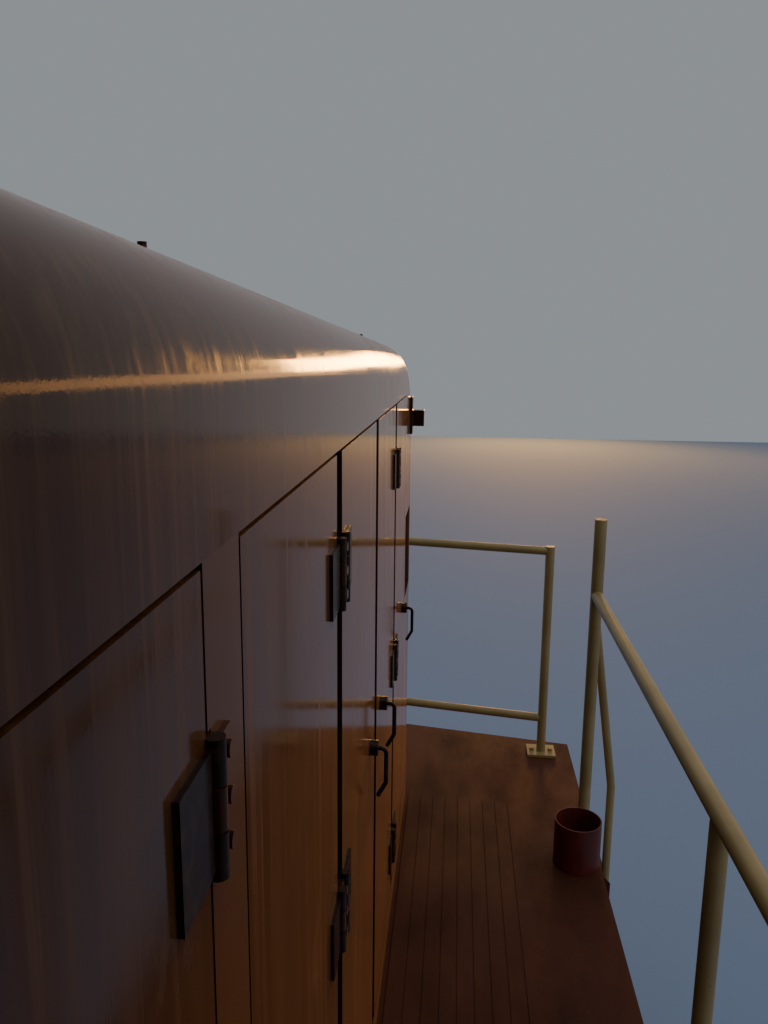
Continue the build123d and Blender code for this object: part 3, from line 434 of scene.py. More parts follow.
# Deck, end sills, steps and underframe: steel plate and sections under red-brown anti-slip paint, which is
# scuffed along the walkway and faded in patches.
deck_paint, deck_shader, deck_place = new_finish("deck_paint", 0.55)
tuned(deck_shader, {"Specular Tint": (1.0, 0.74, 0.58, 1), "Specular IOR Level": 0.30})
scuffs = graded(deck_paint, cloud(deck_paint, deck_place, 5.0, (0.5, 1, 1), 8.0, 0.65), grey(0.42, 0.70))
faded = cloud(deck_paint, deck_place, 1.7, detail=5.0)
patches = graded(deck_paint, faded, ((0.3, (0.080, 0.0175, 0.0082)), (0.7, (0.128, 0.029, 0.0138))))
scuffed = reckoned(deck_paint, "MULTIPLY", scuffs, 0.55)
deck_colour = mixed(deck_paint, scuffed, patches, (0.034, 0.014, 0.008))
specks = graded(deck_paint, cloud(deck_paint, deck_place, 90.0, detail=3.0), grey(0.66, 0.74))
specked = reckoned(deck_paint, "MULTIPLY", specks, 0.5)
deck_colour = mixed(deck_paint, specked, deck_colour, (0.13, 0.075, 0.05))
deck_gloss = graded(deck_paint, scuffs, grey(0.0, 1.0, 0.58, 0.74))
tuned(deck_shader, {"Base Color": deck_colour, "Roughness": deck_gloss})
grit = roughened(deck_paint, deck_shader, cloud(deck_paint, deck_place, 160.0, detail=4.0), 0.30, 0.0015)
roughened(deck_paint, deck_shader, scuffs, 0.25, 0.001, grit)
DECK_NODES = (
    ("deck_plate", 0.002), ("tread_planks", 0.0), ("end_sills", 0.003), ("step_ladders", 0.002),
    ("underframe", 0.0),
)
for node, edge in DECK_NODES:
    skinned(node, deck_paint, edge)

# Handrails: steel pipe on welded posts with bolted feet, brushed with cream paint that is chipped down to
# the rust.
rail_paint, rail_shader, rail_place = new_finish("rail_paint", 0.35)
chips = graded(rail_paint, cloud(rail_paint, rail_place, 38.0, detail=6.0, roughness=0.7), grey(0.66, 0.70))
hand_dirt = cloud(rail_paint, rail_place, 4.0, detail=5.0)
soiled = graded(rail_paint, hand_dirt, ((0.3, (0.52, 0.37, 0.15)), (0.75, (0.34, 0.23, 0.09))))
rail_colour = mixed(rail_paint, chips, soiled, (0.12, 0.07, 0.045))
tuned(rail_shader, {"Base Color": rail_colour})
roughened(rail_paint, rail_shader, reckoned(rail_paint, "SUBTRACT", 1.0, chips), 0.3, 0.0006)
for node in ("handrail_posts", "handrails"):
    skinned(node, rail_paint, 0.001)

# The pot on the deck: an open pot rolled from thin steel sheet, sprayed red and dulled by weather. It
# stands loose on the plate.
red, soiled_red = (0.35, (0.19, 0.024, 0.014)), (0.75, (0.08, 0.018, 0.012))
pot_paint = mottled("pot_paint", 0.5, 22.0, 6.0, red, soiled_red, 0.0, (1, 1, 0.4), (60.0, 0.15, 0.001))
skinned("deck_pot", pot_paint, 0.001)

# Running gear: cast truck frames, the welded tank and reservoirs and the engines, all in black paint under
# road dust. The radiator grilles wear the same paint.
gear_paint, gear_shader, gear_place = new_finish("gear_paint", 0.6)
dust = graded(gear_paint, cloud(gear_paint, gear_place, 6.0, detail=8.0, roughness=0.65), grey(0.40, 0.72))
gear_colour = mixed(gear_paint, dust, (0.018, 0.016, 0.015), (0.085, 0.066, 0.052))
gear_gloss = graded(gear_paint, dust, grey(0.0, 1.0, 0.42, 0.85))
tuned(gear_shader, {"Base Color": gear_colour, "Roughness": gear_gloss})
roughened(gear_paint, gear_shader, cloud(gear_paint, gear_place, 120.0, detail=4.0), 0.22, 0.001)
for node in ("truck_frame_front", "truck_frame_rear", "fuel_tank", "air_reservoirs", "engines"):
    skinned(node, gear_paint, 0.002)
skinned("radiator_grilles", gear_paint)

# Truck springs: two nested coils of round steel bar, wound opposite ways, at four places on each truck.
# They stand on round seats and replace the plain spring blocks.
dark, rust = (0.35, (0.045, 0.030, 0.024)), (0.7, (0.13, 0.075, 0.048))
coil_steel = mottled("coil_steel", 0.5, 35.0, 7.0, dark, rust, 0.4, grain=(0, 0.2, 0.001))
spring_low, spring_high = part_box("truck_springs_front")
truck_x = (spring_low.x + spring_high.x) / 2
spring_z, spring_h = spring_low.z, spring_high.z - spring_low.z


def coil(place, radius, wire, turns, height):
    """A coil spring: a ring of bar at radius, screwed up to height with the screw modifier."""
    upright = (math.pi / 2, 0, 0)
    bpy.ops.mesh.primitive_circle_add(vertices=12, radius=wire, rotation=upright, location=(radius, 0, 0))
    piece = bpy.context.object
    bpy.ops.object.transform_apply()
    steps = int(abs(turns) * 24)
    angle = turns * 2 * math.pi
    modified(piece, "SCREW", axis="Z", angle=angle, screw_offset=height, steps=steps, render_steps=steps)
    bpy.ops.object.mode_set(mode="EDIT")
    bpy.ops.mesh.select_all(action="SELECT")
    bpy.ops.mesh.fill_holes(sides=12)
    bpy.ops.mesh.normals_make_consistent(inside=False)
    bpy.ops.object.mode_set(mode="OBJECT")
    piece.location = place
    bpy.ops.object.transform_apply()
    return piece


SPRING_SEAT = ((0.060, 0.0), (0.062, 0.002), (0.062, 0.008), (0.058, 0.010))
for end, side_x in (("front", 1), ("rear", -1)):
    coils = []
    for x in (-0.26, 0.26):
        for y in (-1.02, 1.02):
            at = (side_x * truck_x + x, y, spring_z + 0.013)
            coils.append(coil(at, 0.048, 0.013, 5.0, spring_h - 0.026))
            coils.append(coil(at, 0.024, 0.007, -8.0, spring_h - 0.026))
            coils.append(turned((at[0], y, spring_z), (0, 0, 1), SPRING_SEAT))
    springs = finished(joined(coils), f"coil_springs_{end}", coil_steel, f"truck_{end}", 40)
    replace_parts(springs, f"truck_springs_{end}")

# Wheelsets: forged steel wheels pressed on their axle, brown with rust all over. Each turns as one with
# its axle.
dark, rust = (0.35, (0.10, 0.062, 0.045)), (0.7, (0.20, 0.13, 0.09))
wheel_steel = mottled("wheel_steel", 0.5, 11.0, 7.0, dark, rust, 0.6, grain=(90.0, 0.2, 0.001))
for number in range(1, 5):
    skinned(f"wheelset_{number}", wheel_steel, 0.002)

# Couplers: rough steel castings with rounded edges, as rusty as the wheels. Each swings with its own
# body.
for end in ("front", "rear"):
    skinned(f"coupler_{end}", wheel_steel, 0.008)

# Air horn: three brass bells with open mouths, spun and clamped to one bar, held by a post through the
# cab's roof.
bright, tarnished = (0.3, (0.30, 0.20, 0.08)), (0.7, (0.14, 0.09, 0.045))
brass = mottled("horn_brass", 0.34, 24.0, 6.0, bright, tarnished, 0.9)
horn_low, horn_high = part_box("horn")
bell_z = (horn_low.z + horn_high.z) / 2 + 0.018
# columns: radius, distance along the bell from the post
BELL_LINE = (
    (0.020, -0.180), (0.026, -0.176), (0.026, -0.150), (0.016, -0.140), (0.016, 0.040), (0.021, 0.100),
    (0.032, 0.155), (0.047, 0.190), (0.054, 0.200), (0.051, 0.2005), (0.043, 0.189), (0.028, 0.155),
    (0.017, 0.100), (0.012, 0.050),
)
bells = []
for y in (-0.09, 0.0, 0.09):
    bells.append(turned((0, y, bell_z), (1, 0, 0), BELL_LINE, 32))
    bells.append(turned((0, y, bell_z - 0.045), (0, 0, 1), [(0.010, 0.0), (0.010, 0.040)], 12))
horn_bar = [(0.010, 0), (0.013, 0.003), (0.013, 0.207), (0.010, 0.21)]
bells.append(turned((0, -0.105, bell_z - 0.045), (0, 1, 0), horn_bar, 20))
post_foot = horn_low.z + 0.004
horn_post = [(0.045, 0.0), (0.045, 0.008), (0.020, 0.012), (0.016, 0.018), (0.016, bell_z - 0.05 - post_foot)]
bells.append(turned((0, 0, post_foot), (0, 0, 1), horn_post, 24))
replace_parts(finished(joined(bells), "horn_bells", brass, "locomotive", 35), "horn")

# Rivets in two rows along each side sill, where the deck's edge angle is fixed: steel button heads,
# painted over.
def repeated(unit, places):
    """One piece made of copies of unit at places. The unit itself is used up."""
    copies = []
    for place in places:
        twin = bpy.data.objects.new(unit.name, unit.data.copy())
        twin.data.transform(Matrix.Translation(place))
        bpy.context.scene.collection.objects.link(twin)
        copies.append(twin)
    bpy.data.objects.remove(unit)
    return joined(copies)


sill_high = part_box("underframe")[1]
RIVET_SPAN = 4.45
RIVET_PITCH = 0.11
RIVET_LINE = ((0.012, -0.001), (0.012, 0.002), (0.010, 0.0055), (0.005, 0.0075))
for side, name in ((-1, "right"), (1, "left")):
    spots = []
    for z in (0.030, 0.186):
        for number in range(int(2 * RIVET_SPAN / RIVET_PITCH) + 1):
            spots.append(Vector((number * RIVET_PITCH - RIVET_SPAN, side * sill_high.y, deck_z - 0.012 - z)))
    rivets = repeated(turned((0, 0, 0), (0, side, 0), RIVET_LINE, 10), spots)
    finished(rivets, f"sill_rivets_{name}", deck_paint, "locomotive", 60)


# Fuel tank fittings: steel straps bent round the tank and screwed up to the sill, and on each side a
# filler neck with a screwed cap. The air reservoirs beside it hang in straps from the cross bearers.
def block(low, high, round_over, segments=4):
    """A solid between two corners with its edges rounded."""
    bpy.ops.mesh.primitive_cube_add(size=1, location=[(a + b) / 2 for a, b in zip(low, high)])
    piece = bpy.context.object
    piece.scale = [b - a for a, b in zip(low, high)]
    bpy.ops.object.transform_apply()
    bpy.ops.object.mode_set(mode="EDIT")
    bpy.ops.mesh.select_all(action="SELECT")
    bpy.ops.mesh.bevel(offset=round_over, segments=segments, affect="EDGES")
    bpy.ops.object.mode_set(mode="OBJECT")
    return piece


def bar(start, end, radius, sides=14):
    """A round bar between two points with eased ends."""
    way = Vector(end) - Vector(start)
    ease = min(radius * 0.3, 0.003)
    line = [(radius - ease, 0), (radius, ease), (radius, way.length - ease), (radius - ease, way.length)]
    return turned(start, way, line, sides)


def band(points, width, thick, across="X"):
    """A flat bar bent through points, width metres wide along the axis across."""
    bpy.ops.mesh.primitive_plane_add(size=width, location=points[0])
    piece = bpy.context.object
    bpy.ops.object.transform_apply()
    bpy.ops.object.mode_set(mode="EDIT")
    bpy.ops.mesh.select_all(action="SELECT")
    squeeze = (1, 0, 1) if across == "X" else (0, 1, 1)
    bpy.ops.transform.resize(value=squeeze, center_override=points[0])
    bpy.ops.mesh.remove_doubles(threshold=0.0001)
    for last, point in zip(points, points[1:]):
        step = Vector(point) - Vector(last)
        bpy.ops.mesh.extrude_region_move(TRANSFORM_OT_translate={"value": step})
    bpy.ops.object.mode_set(mode="OBJECT")
    modified(piece, "SOLIDIFY", thickness=thick, offset=0)
    bpy.ops.object.mode_set(mode="EDIT")
    bpy.ops.mesh.select_all(action="SELECT")
    bpy.ops.mesh.normals_make_consistent(inside=False)
    bpy.ops.object.mode_set(mode="OBJECT")
    return piece


def arc(centre, radius, start_deg, end_deg, steps):
    """Points (across, up) on a circle about centre."""
    points = []
    for step in range(steps + 1):
        turn = math.radians(start_deg + (end_deg - start_deg) * step / steps)
        points.append((centre[0] + radius * math.cos(turn), centre[1] + radius * math.sin(turn)))
    return points


tank_low, tank_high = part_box("fuel_tank")
res_low, res_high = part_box("air_reservoirs")
TANK_R = 0.16
STRAP_T = 0.006
STRAP_W = 0.07
RES_STRAP_W = 0.045
TANK_STRAP_X = 0.70
RES_STRAP_X = 0.60
LUG_W = 0.036
STRAP_NUT = ((0.013, 0), (0.013, 0.012), (0.009, 0.014))
DRAIN_LINE = ((0.018, 0), (0.018, 0.016), (0.011, 0.018), (0.011, 0.046), (0.008, 0.050))
off = STRAP_T / 2 + 0.001
bend_r = TANK_R + off
corner_left = (tank_low.y + TANK_R, tank_low.z + TANK_R)
corner_right = (tank_high.y - TANK_R, tank_low.z + TANK_R)
strap_line = [(tank_low.y - off, tank_high.z - 0.012)] + arc(corner_left, bend_r, 180, 270, 8)
strap_line += arc(corner_right, bend_r, 270, 360, 8) + [(tank_high.y + off, tank_high.z - 0.012)]
fittings = []
for x in (-TANK_STRAP_X, TANK_STRAP_X):
    fittings.append(band([(x, y, z) for y, z in strap_line], STRAP_W, STRAP_T))
    for side in (-1, 1):
        lug = (x - 0.03, side * (tank_high.y + 0.020) - LUG_W / 2, tank_high.z - 0.030)
        fittings.append(block(lug, (lug[0] + 0.06, lug[1] + LUG_W, tank_high.z - 0.004), 0.004, 2))
        nut_at = (x, side * (tank_high.y + 0.022), tank_high.z - 0.030)
        fittings.append(turned(nut_at, (0, 0, -1), STRAP_NUT, 6))
# columns: radius, distance out from the tank's side
FILLER_LINE = (
    (0.042, -0.030), (0.042, 0.072), (0.053, 0.075), (0.055, 0.080), (0.055, 0.096), (0.048, 0.102),
    (0.020, 0.104),
)
for side in (-1, 1):
    neck = (tank_high.x - 0.14, side * tank_high.y, (tank_low.z + tank_high.z) / 2 + 0.19)
    fittings.append(turned(neck, (0, side, 0.35), FILLER_LINE, 24))
res_r = (res_high.z - res_low.z) / 2
res_mid = (res_low.y + res_r, res_low.z + res_r)
strap_r = res_r + off
for x in (-RES_STRAP_X, RES_STRAP_X):
    for side in (-1, 1):
        middle = (side * -res_mid[0], res_mid[1])
        line = [(middle[0] - strap_r, res_high.z - 0.002)] + arc(middle, strap_r, 180, 360, 16)
        line += [(middle[0] + strap_r, res_high.z - 0.002)]
        fittings.append(band([(x, y, z) for y, z in line], RES_STRAP_W, STRAP_T))
for side in (-1, 1):
    drain = (0.0, side * res_mid[0], res_low.z + 0.006)
    fittings.append(turned(drain, (0, 0, -1), DRAIN_LINE, 12))
finished(joined(fittings), "tank_fittings", gear_paint, "locomotive", 40)

# Truck gear: on each side a brake cylinder between its levers, a cast shoe hung against each wheel, bolted
# covers on the axle boxes, and a bent sand pipe that ends ahead of the wheel near the rail.
HALF_BASE = 1.10
axle_z = (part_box("wheelset_1")[0].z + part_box("wheelset_1")[1].z) / 2
TREAD_R = 0.508
FRAME_OUT = 1.08
box_out = -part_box("truck_frame_front")[0].y
SHOE_T = 0.044
SHOE_Y = -0.770
shoe_r = TREAD_R + 0.016 + SHOE_T / 2
cylinder_y = -FRAME_OUT - 0.092
CYLINDER_Z = 0.885
LEVER_X = 0.49
# columns: radius, distance along the cylinder
CYLINDER_HALF = (
    (0.016, -LEVER_X), (0.016, -0.176), (0.050, -0.170), (0.072, -0.158), (0.072, -0.130), (0.080, -0.128),
    (0.080, -0.112), (0.072, -0.110),
)
cylinder_line = list(CYLINDER_HALF) + [(radius, -along) for radius, along in reversed(CYLINDER_HALF)]
# columns: radius, distance out from the axle box, or from the box for its bolts
COVER_LINE = (
    (0.112, -0.001), (0.112, 0.009), (0.104, 0.012), (0.072, 0.013), (0.064, 0.020), (0.030, 0.023),
)
COVER_BOLT = ((0.011, 0.011), (0.011, 0.019), (0.008, 0.021))
BOLT_RING_R = 0.092
LEVER_LOW = 0.56
PIVOT_Z = 0.850
ROD_Z = 0.60
gear = [turned((0, cylinder_y, CYLINDER_Z), (1, 0, 0), cylinder_line, 28)]
bracket_low = (-0.06, cylinder_y + 0.04, CYLINDER_Z - 0.05)
gear.append(block(bracket_low, (0.06, -FRAME_OUT + 0.002, CYLINDER_Z + 0.05), 0.008, 2))
for side in (-1, 1):
    lever_x = side * LEVER_X
    lever_low = (lever_x - 0.018, cylinder_y - 0.013, LEVER_LOW)
    gear.append(block(lever_low, (lever_x + 0.018, cylinder_y + 0.013, CYLINDER_Z + 0.04), 0.008, 3))
    gear.append(bar((lever_x, cylinder_y - 0.022, PIVOT_Z), (lever_x, -FRAME_OUT + 0.004, PIVOT_Z), 0.022))
    gear.append(bar((lever_x, cylinder_y, ROD_Z), (lever_x - side * 0.26, cylinder_y, ROD_Z), 0.012))
    axle_x = side * HALF_BASE
    middle_deg = 180 if side > 0 else 0
    shoe_line = arc((axle_x, axle_z), shoe_r, middle_deg - 18, middle_deg + 18, 8)
    gear.append(band([(x, SHOE_Y, z) for x, z in shoe_line], 0.084, SHOE_T, "Y"))
    shoe_back = axle_x - side * (shoe_r + 0.004)
    gear.append(bar((side * 0.27, SHOE_Y, PIVOT_Z), (shoe_back, SHOE_Y, axle_z + 0.075), 0.020))
    cover = Vector((axle_x, -box_out, axle_z))
    gear.append(turned(cover, (0, -1, 0), COVER_LINE, 32))
    for turn in range(6):
        around = math.radians(turn * 60 + 30)
        spot = cover + Vector((BOLT_RING_R * math.cos(around), 0, BOLT_RING_R * math.sin(around)))
        gear.append(turned(spot, (0, -1, 0), COVER_BOLT, 6))
    sand_top = Vector((side * 1.42, -1.02, 0.760))
    sand_low = Vector((side * 1.64, -0.775, 0.110))
    gear.append(bar(sand_top, sand_low, 0.014))
    nozzle = sand_low + Vector((side * 0.003, 0, 0.010))
    gear.append(bar(nozzle, sand_low + Vector((side * -0.030, 0.012, -0.035)), 0.017))
truck_gear = joined(gear)
truck_gear = joined([truck_gear, copied(truck_gear, flip_y=True)])
for end, move in (("front", truck_x), ("rear", -truck_x)):
    twin = copied(truck_gear)
    twin.data.transform(Matrix.Translation((move, 0, 0)))
    finished(twin, f"brake_gear_{end}", gear_paint, f"truck_{end}", 40)
bpy.data.objects.remove(truck_gear)

# Uncoupling levers: a bent steel rod on each side of the coupler, turning in two plate brackets that are
# welded to the end sill.
sill_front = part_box("end_sills")[1].x
rod_x = sill_front + 0.060
ROD_LEVEL = 1.150
ELBOW_LINE = ((0.004, 0), (0.009, 0.004), (0.0123, 0.012), (0.009, 0.020), (0.004, 0.024))
SWEEP_START = 0.60
SWEEP = math.tan(math.radians(10.2))
inner, outer = Vector((rod_x, -0.04, ROD_LEVEL)), Vector((rod_x, -1.15, ROD_LEVEL))
arm, grip = inner + Vector((0.055, 0, -0.030)), outer + Vector((0, 0, -0.26))
levers = [bar(inner, outer, 0.012), bar(inner, arm, 0.012), bar(outer, grip, 0.012)]
for corner in (inner, outer, arm, grip):
    levers.append(turned(corner - Vector((0, 0, 0.012)), (0, 0, 1), ELBOW_LINE, 16))
for y in (-0.30, -1.08):
    sill_x = sill_front - max(0.0, -y - SWEEP_START) * SWEEP
    plate_low = (sill_x - 0.002, y - 0.010, ROD_LEVEL - 0.024)
    levers.append(block(plate_low, (rod_x + 0.018, y + 0.010, ROD_LEVEL + 0.024), 0.004, 2))
lever_pair = joined(levers)
lever_pair = joined([lever_pair, copied(lever_pair, flip_y=True)])
rear_pair = copied(lever_pair, flip_x=True)
finished(rear_pair, "uncoupling_levers_rear", gear_paint, "locomotive", 40)
finished(lever_pair, "uncoupling_levers_front", gear_paint, "locomotive", 40)

# Cab fittings: a pressed gutter along each eave, a hatch in the roof, grab irons beside the doors, and on
# each door a cast lever handle inside and out.
roof_low, roof_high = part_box("cab_roof")
cab_floor_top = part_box("cab_floor")[1].z
GUTTER_W = 0.026
eaves_z = roof_low.z + 0.002
gutter_line = [(roof_low.y + 0.004, eaves_z), (roof_low.y - GUTTER_W, eaves_z)]
gutter_line.append((roof_low.y - GUTTER_W, roof_low.z + 0.024))
gutter = band([(0, y, z) for y, z in gutter_line], 2 * roof_high.x, 0.003)
roof_fittings = [gutter, copied(gutter, flip_y=True)]
roof_fittings.append(block((0.38, -0.27, roof_high.z - 0.030), (0.96, 0.27, roof_high.z + 0.026), 0.014, 3))
for y in (-0.16, 0.16):
    hinge_z = roof_high.z + 0.012
    roof_fittings.append(bar((0.372, y - 0.035, hinge_z), (0.372, y + 0.035, hinge_z), 0.010))
finished(joined(roof_fittings), "roof_fittings", hood_paint, "locomotive", 40)
grab_x = cab_end_x + 0.060
grab_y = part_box("cab_sides")[0].y + 0.074
grab_low, grab_high = cab_floor_top + 0.35, cab_floor_top + 1.45
GRAB_FOOT = ((0.026, -0.001), (0.026, 0.004), (0.014, 0.008))
irons = [bar((grab_x, grab_y, grab_low), (grab_x, grab_y, grab_high), 0.011)]
for z in (grab_low + 0.03, grab_high - 0.03):
    irons.append(bar((cab_end_x - 0.002, grab_y, z), (grab_x, grab_y, z), 0.010))
    irons.append(turned((cab_end_x, grab_y, z), (1, 0, 0), GRAB_FOOT, 16))
grab_set = joined(irons)
finished(copied(grab_set, True, True), "cab_grab_iron_rear", rail_paint, "locomotive", 40)
finished(grab_set, "cab_grab_iron_front", rail_paint, "locomotive", 40)
door_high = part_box("cab_door_front")[1]
handle_y = door_high.y - 0.045
handle_z = cab_floor_top + 0.89
DOOR_SHEET = 0.040
# columns: radius, distance from the door, then along the lever
ROSE_LINE = ((0.027, -0.001), (0.027, 0.006), (0.022, 0.009), (0.012, 0.011), (0.009, 0.030))
HANDLE_LINE = ((0.006, 0), (0.010, 0.004), (0.010, 0.030), (0.007, 0.060), (0.009, 0.112), (0.006, 0.120))
door_parts = []
for face_x, way in ((door_high.x, 1), (door_high.x - DOOR_SHEET, -1)):
    spot = Vector((face_x, handle_y, handle_z))
    door_parts.append(turned(spot, (way, 0, 0), ROSE_LINE, 24))
    elbow = spot + Vector((way * 0.032, 0, 0))
    door_parts.append(turned(elbow + Vector((0, 0.012, 0)), (0, -1, 0), HANDLE_LINE, 16))
door_handles = joined(door_parts)
finished(copied(door_handles, True, True), "cab_door_handles_rear", chrome, "cab_door_rear", 40)
finished(door_handles, "cab_door_handles_front", chrome, "cab_door_front", 40)

# Cab inside: the floor and the control stand, of folded steel sheet in pale green paint, scrubbed and a
# little dull.
green, scrubbed = (0.35, (0.24, 0.28, 0.25)), (0.75, (0.17, 0.19, 0.17))
lining = mottled("cab_lining", 0.5, 7.0, 6.0, green, scrubbed, grain=(200.0, 0.08, 0.0006))
for node in ("cab_floor", "control_stand"):
    skinned(node, lining, 0.003)

# Gauges and levers on the control stand: dark cans with bright bezels and white faces on its slopes,
# and steel levers with black knobs standing in slots on its top.
black, handled = (0.3, (0.010, 0.010, 0.011)), (0.7, (0.022, 0.021, 0.020))
dark_plastic = mottled("dark_plastic", 0.4, 50.0, 4.0, black, handled)
white, yellowed = (0.3, (0.78, 0.77, 0.72)), (0.7, (0.62, 0.60, 0.54))
dial_white = mottled("dial_white", 0.35, 30.0, 4.0, white, yellowed)
stand_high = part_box("control_stand")[1]
RIDGE_HALF = 0.09
SLOPE_RISE = 0.20
slope_run = stand_high.y - RIDGE_HALF
slope_tilt = Vector((0, SLOPE_RISE, slope_run)).normalized()
slope_mid = Vector((0, (stand_high.y + RIDGE_HALF) / 2, stand_high.z - SLOPE_RISE / 2))
NEEDLE_LINE = ((0.0016, -0.010), (0.0016, 0.030), (0.0006, 0.038))
BEZEL_LINE = ((0.054, 0.0), (0.054, 0.016), (0.050, 0.020), (0.046, 0.018), (0.046, 0.010))
KNOB_LINE = ((0.008, 0.150), (0.016, 0.158), (0.020, 0.172), (0.018, 0.186), (0.010, 0.196), (0.003, 0.198))
bezels, faces, hands, knobs = [], [], [], []
for side in (-1, 1):
    out = Vector((0, side * slope_tilt.y, slope_tilt.z))
    for x in (-0.19, -0.065, 0.065, 0.19):
        at = Vector((x, side * slope_mid.y, slope_mid.z))
        bezels.append(turned(at, out, BEZEL_LINE, 32))
        faces.append(turned(at, out, [(0.0455, 0.0102), (0.0455, 0.0112)], 32))
        hands.append(turned(at, out, [(0.006, 0.0112), (0.006, 0.0150), (0.003, 0.0160)], 12))
        needle_way = (out.cross(Vector((1, 0, 0))) + Vector((x * 4, 0, 0))).normalized()
        hands.append(turned(at + out * 0.0135, needle_way, NEEDLE_LINE, 8))
    for x, lean in ((-0.22, 0.30), (-0.10, -0.15), (0.12, 0.22)):
        foot = Vector((x, side * 0.045, stand_high.z))
        way = Vector((lean, 0, 1)).normalized()
        bezels.append(turned(foot, (0, 0, 1), [(0.020, 0.0), (0.020, 0.004), (0.014, 0.008)], 16))
        bezels.append(turned(foot, way, [(0.007, 0.002), (0.007, 0.150), (0.005, 0.156)], 12))
        knobs.append(turned(foot, way, KNOB_LINE, 20))
finished(joined(bezels), "stand_bezels", chrome, "locomotive", 30)
finished(joined(faces), "stand_faces", dial_white, "locomotive", 30)
finished(joined(hands + knobs), "stand_knobs", dark_plastic, "locomotive", 40)

# Seats: a turned steel pedestal and a pressed pan with a back plate, and black vinyl cushions stuffed
# with foam.
black, worn = (0.3, (0.018, 0.018, 0.019)), (0.7, (0.035, 0.034, 0.034))
seat_cover = mottled("seat_cover", 0.45, 30.0, 4.0, black, worn, grain=(260.0, 0.25, 0.0008))
seat_low, seat_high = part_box("cab_seats")
seat_floor = seat_low.z
PAN_Z = seat_floor + 0.43
SEAT_Y = -(seat_high.y - 0.22)
BACK_TOP = seat_high.z


def stuffed(piece, name, reach):
    """The piece swollen by a short cloth simulation, no point moving farther than reach metres."""
    picked(piece)
    modified(piece, "REMESH", mode="VOXEL", voxel_size=0.008)
    starts = [vertex.co.copy() for vertex in piece.data.vertices]
    cloth = piece.modifiers.new("stuffed", "CLOTH")
    cloth.settings.use_pressure = True
    cloth.settings.uniform_pressure_force = 4.0
    cloth.settings.effector_weights.gravity = 0.0
    cloth.point_cache.frame_start = 1
    cloth.point_cache.frame_end = 20
    for number in range(1, 21):
        bpy.context.scene.frame_set(number)
    bpy.ops.object.modifier_apply(modifier="stuffed")
    for vertex, start in zip(piece.data.vertices, starts):
        move = vertex.co - start
        if move.length > reach:
            vertex.co = start + move * (reach / move.length)
    bpy.context.scene.frame_set(1)
    modified(piece, "SUBSURF", levels=1, render_levels=1)
    finished(piece, name, seat_cover, "locomotive", 60)
    return piece


PEDESTAL_LINE = ((0.150, 0.0), (0.150, 0.012), (0.060, 0.030), (0.045, 0.050), (0.045, 0.410), (0.090, 0.424))
steelwork = [turned((0, SEAT_Y, seat_floor), (0, 0, 1), PEDESTAL_LINE, 32)]
steelwork.append(block((-0.20, SEAT_Y - 0.20, PAN_Z - 0.006), (0.20, SEAT_Y + 0.20, PAN_Z + 0.014), 0.006, 2))
back_bar = (-0.03, SEAT_Y - 0.216, PAN_Z + 0.004)
steelwork.append(block(back_bar, (0.03, SEAT_Y - 0.204, BACK_TOP - 0.15), 0.004, 2))
frames = joined(steelwork)
finished(copied(frames, flip_y=True), "seat_frame_left", gear_paint, "locomotive")
finished(frames, "seat_frame_right", gear_paint, "locomotive")
cushions = []
for side, name in ((1, "right"), (-1, "left")):
    near, far = sorted((side * (SEAT_Y - 0.12), side * (SEAT_Y + 0.19)))
    filling = block((-0.19, near, PAN_Z + 0.034), (0.19, far, PAN_Z + 0.070), 0.014)
    cushions.append(stuffed(filling, f"seat_cushion_{name}", 0.019))
    near, far = sorted((side * (SEAT_Y - 0.180), side * (SEAT_Y - 0.160)))
    filling = block((-0.18, near, PAN_Z + 0.13), (0.18, far, BACK_TOP - 0.03), 0.009)
    cushions.append(stuffed(filling, f"seat_back_{name}", 0.020))
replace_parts(cushions[0], "cab_seats")

# Window glass: flat toughened panes with a faint film of dust, each held by a rubber gasket that laps
# over the edge of its opening on both faces of the wall.
pane_glass, pane_shader, pane_place = new_finish("pane_glass", 0.04)
tuned(pane_shader, {"Base Color": (0.85, 0.90, 0.88, 1), "Transmission Weight": 1.0, "IOR": 1.45})
film = graded(pane_glass, cloud(pane_glass, pane_place, 5.0, detail=6.0), grey(0.35, 0.8, 0.02, 0.16))
tuned(pane_shader, {"Roughness": film})
skinned("cab_glass", pane_glass)
black, perished = (0.3, (0.012, 0.012, 0.012)), (0.7, (0.032, 0.030, 0.028))
rubber = mottled("window_rubber", 0.7, 40.0, 5.0, black, perished)
LAP = 0.012
BITE = 0.014
PROUD = 0.006
GLASS_T = 0.006


def framed(width, height, inner_cut, outer_grow, start, end):
    """A rubber frame in the plane of X and Y: its hole inner_cut inside an opening, its rim outer_grow
    outside it, standing from start to end along Z."""
    bpy.ops.mesh.primitive_plane_add(size=1)
    piece = bpy.context.object
    piece.scale = (width + 2 * outer_grow, height + 2 * outer_grow, 1)
    piece.location = (0, 0, start)
    bpy.ops.object.transform_apply()
    bpy.ops.object.mode_set(mode="EDIT")
    bpy.ops.mesh.select_all(action="SELECT")
    bpy.ops.mesh.inset(thickness=inner_cut + outer_grow)
    bpy.ops.mesh.delete(type="FACE")
    bpy.ops.mesh.select_all(action="SELECT")
    bpy.ops.mesh.extrude_region_move(TRANSFORM_OT_translate={"value": (0, 0, end - start)})
    bpy.ops.mesh.select_all(action="SELECT")
    bpy.ops.mesh.normals_make_consistent(inside=False)
    bpy.ops.mesh.bevel(offset=0.002, segments=2, affect="EDGES")
    bpy.ops.object.mode_set(mode="OBJECT")
    return piece


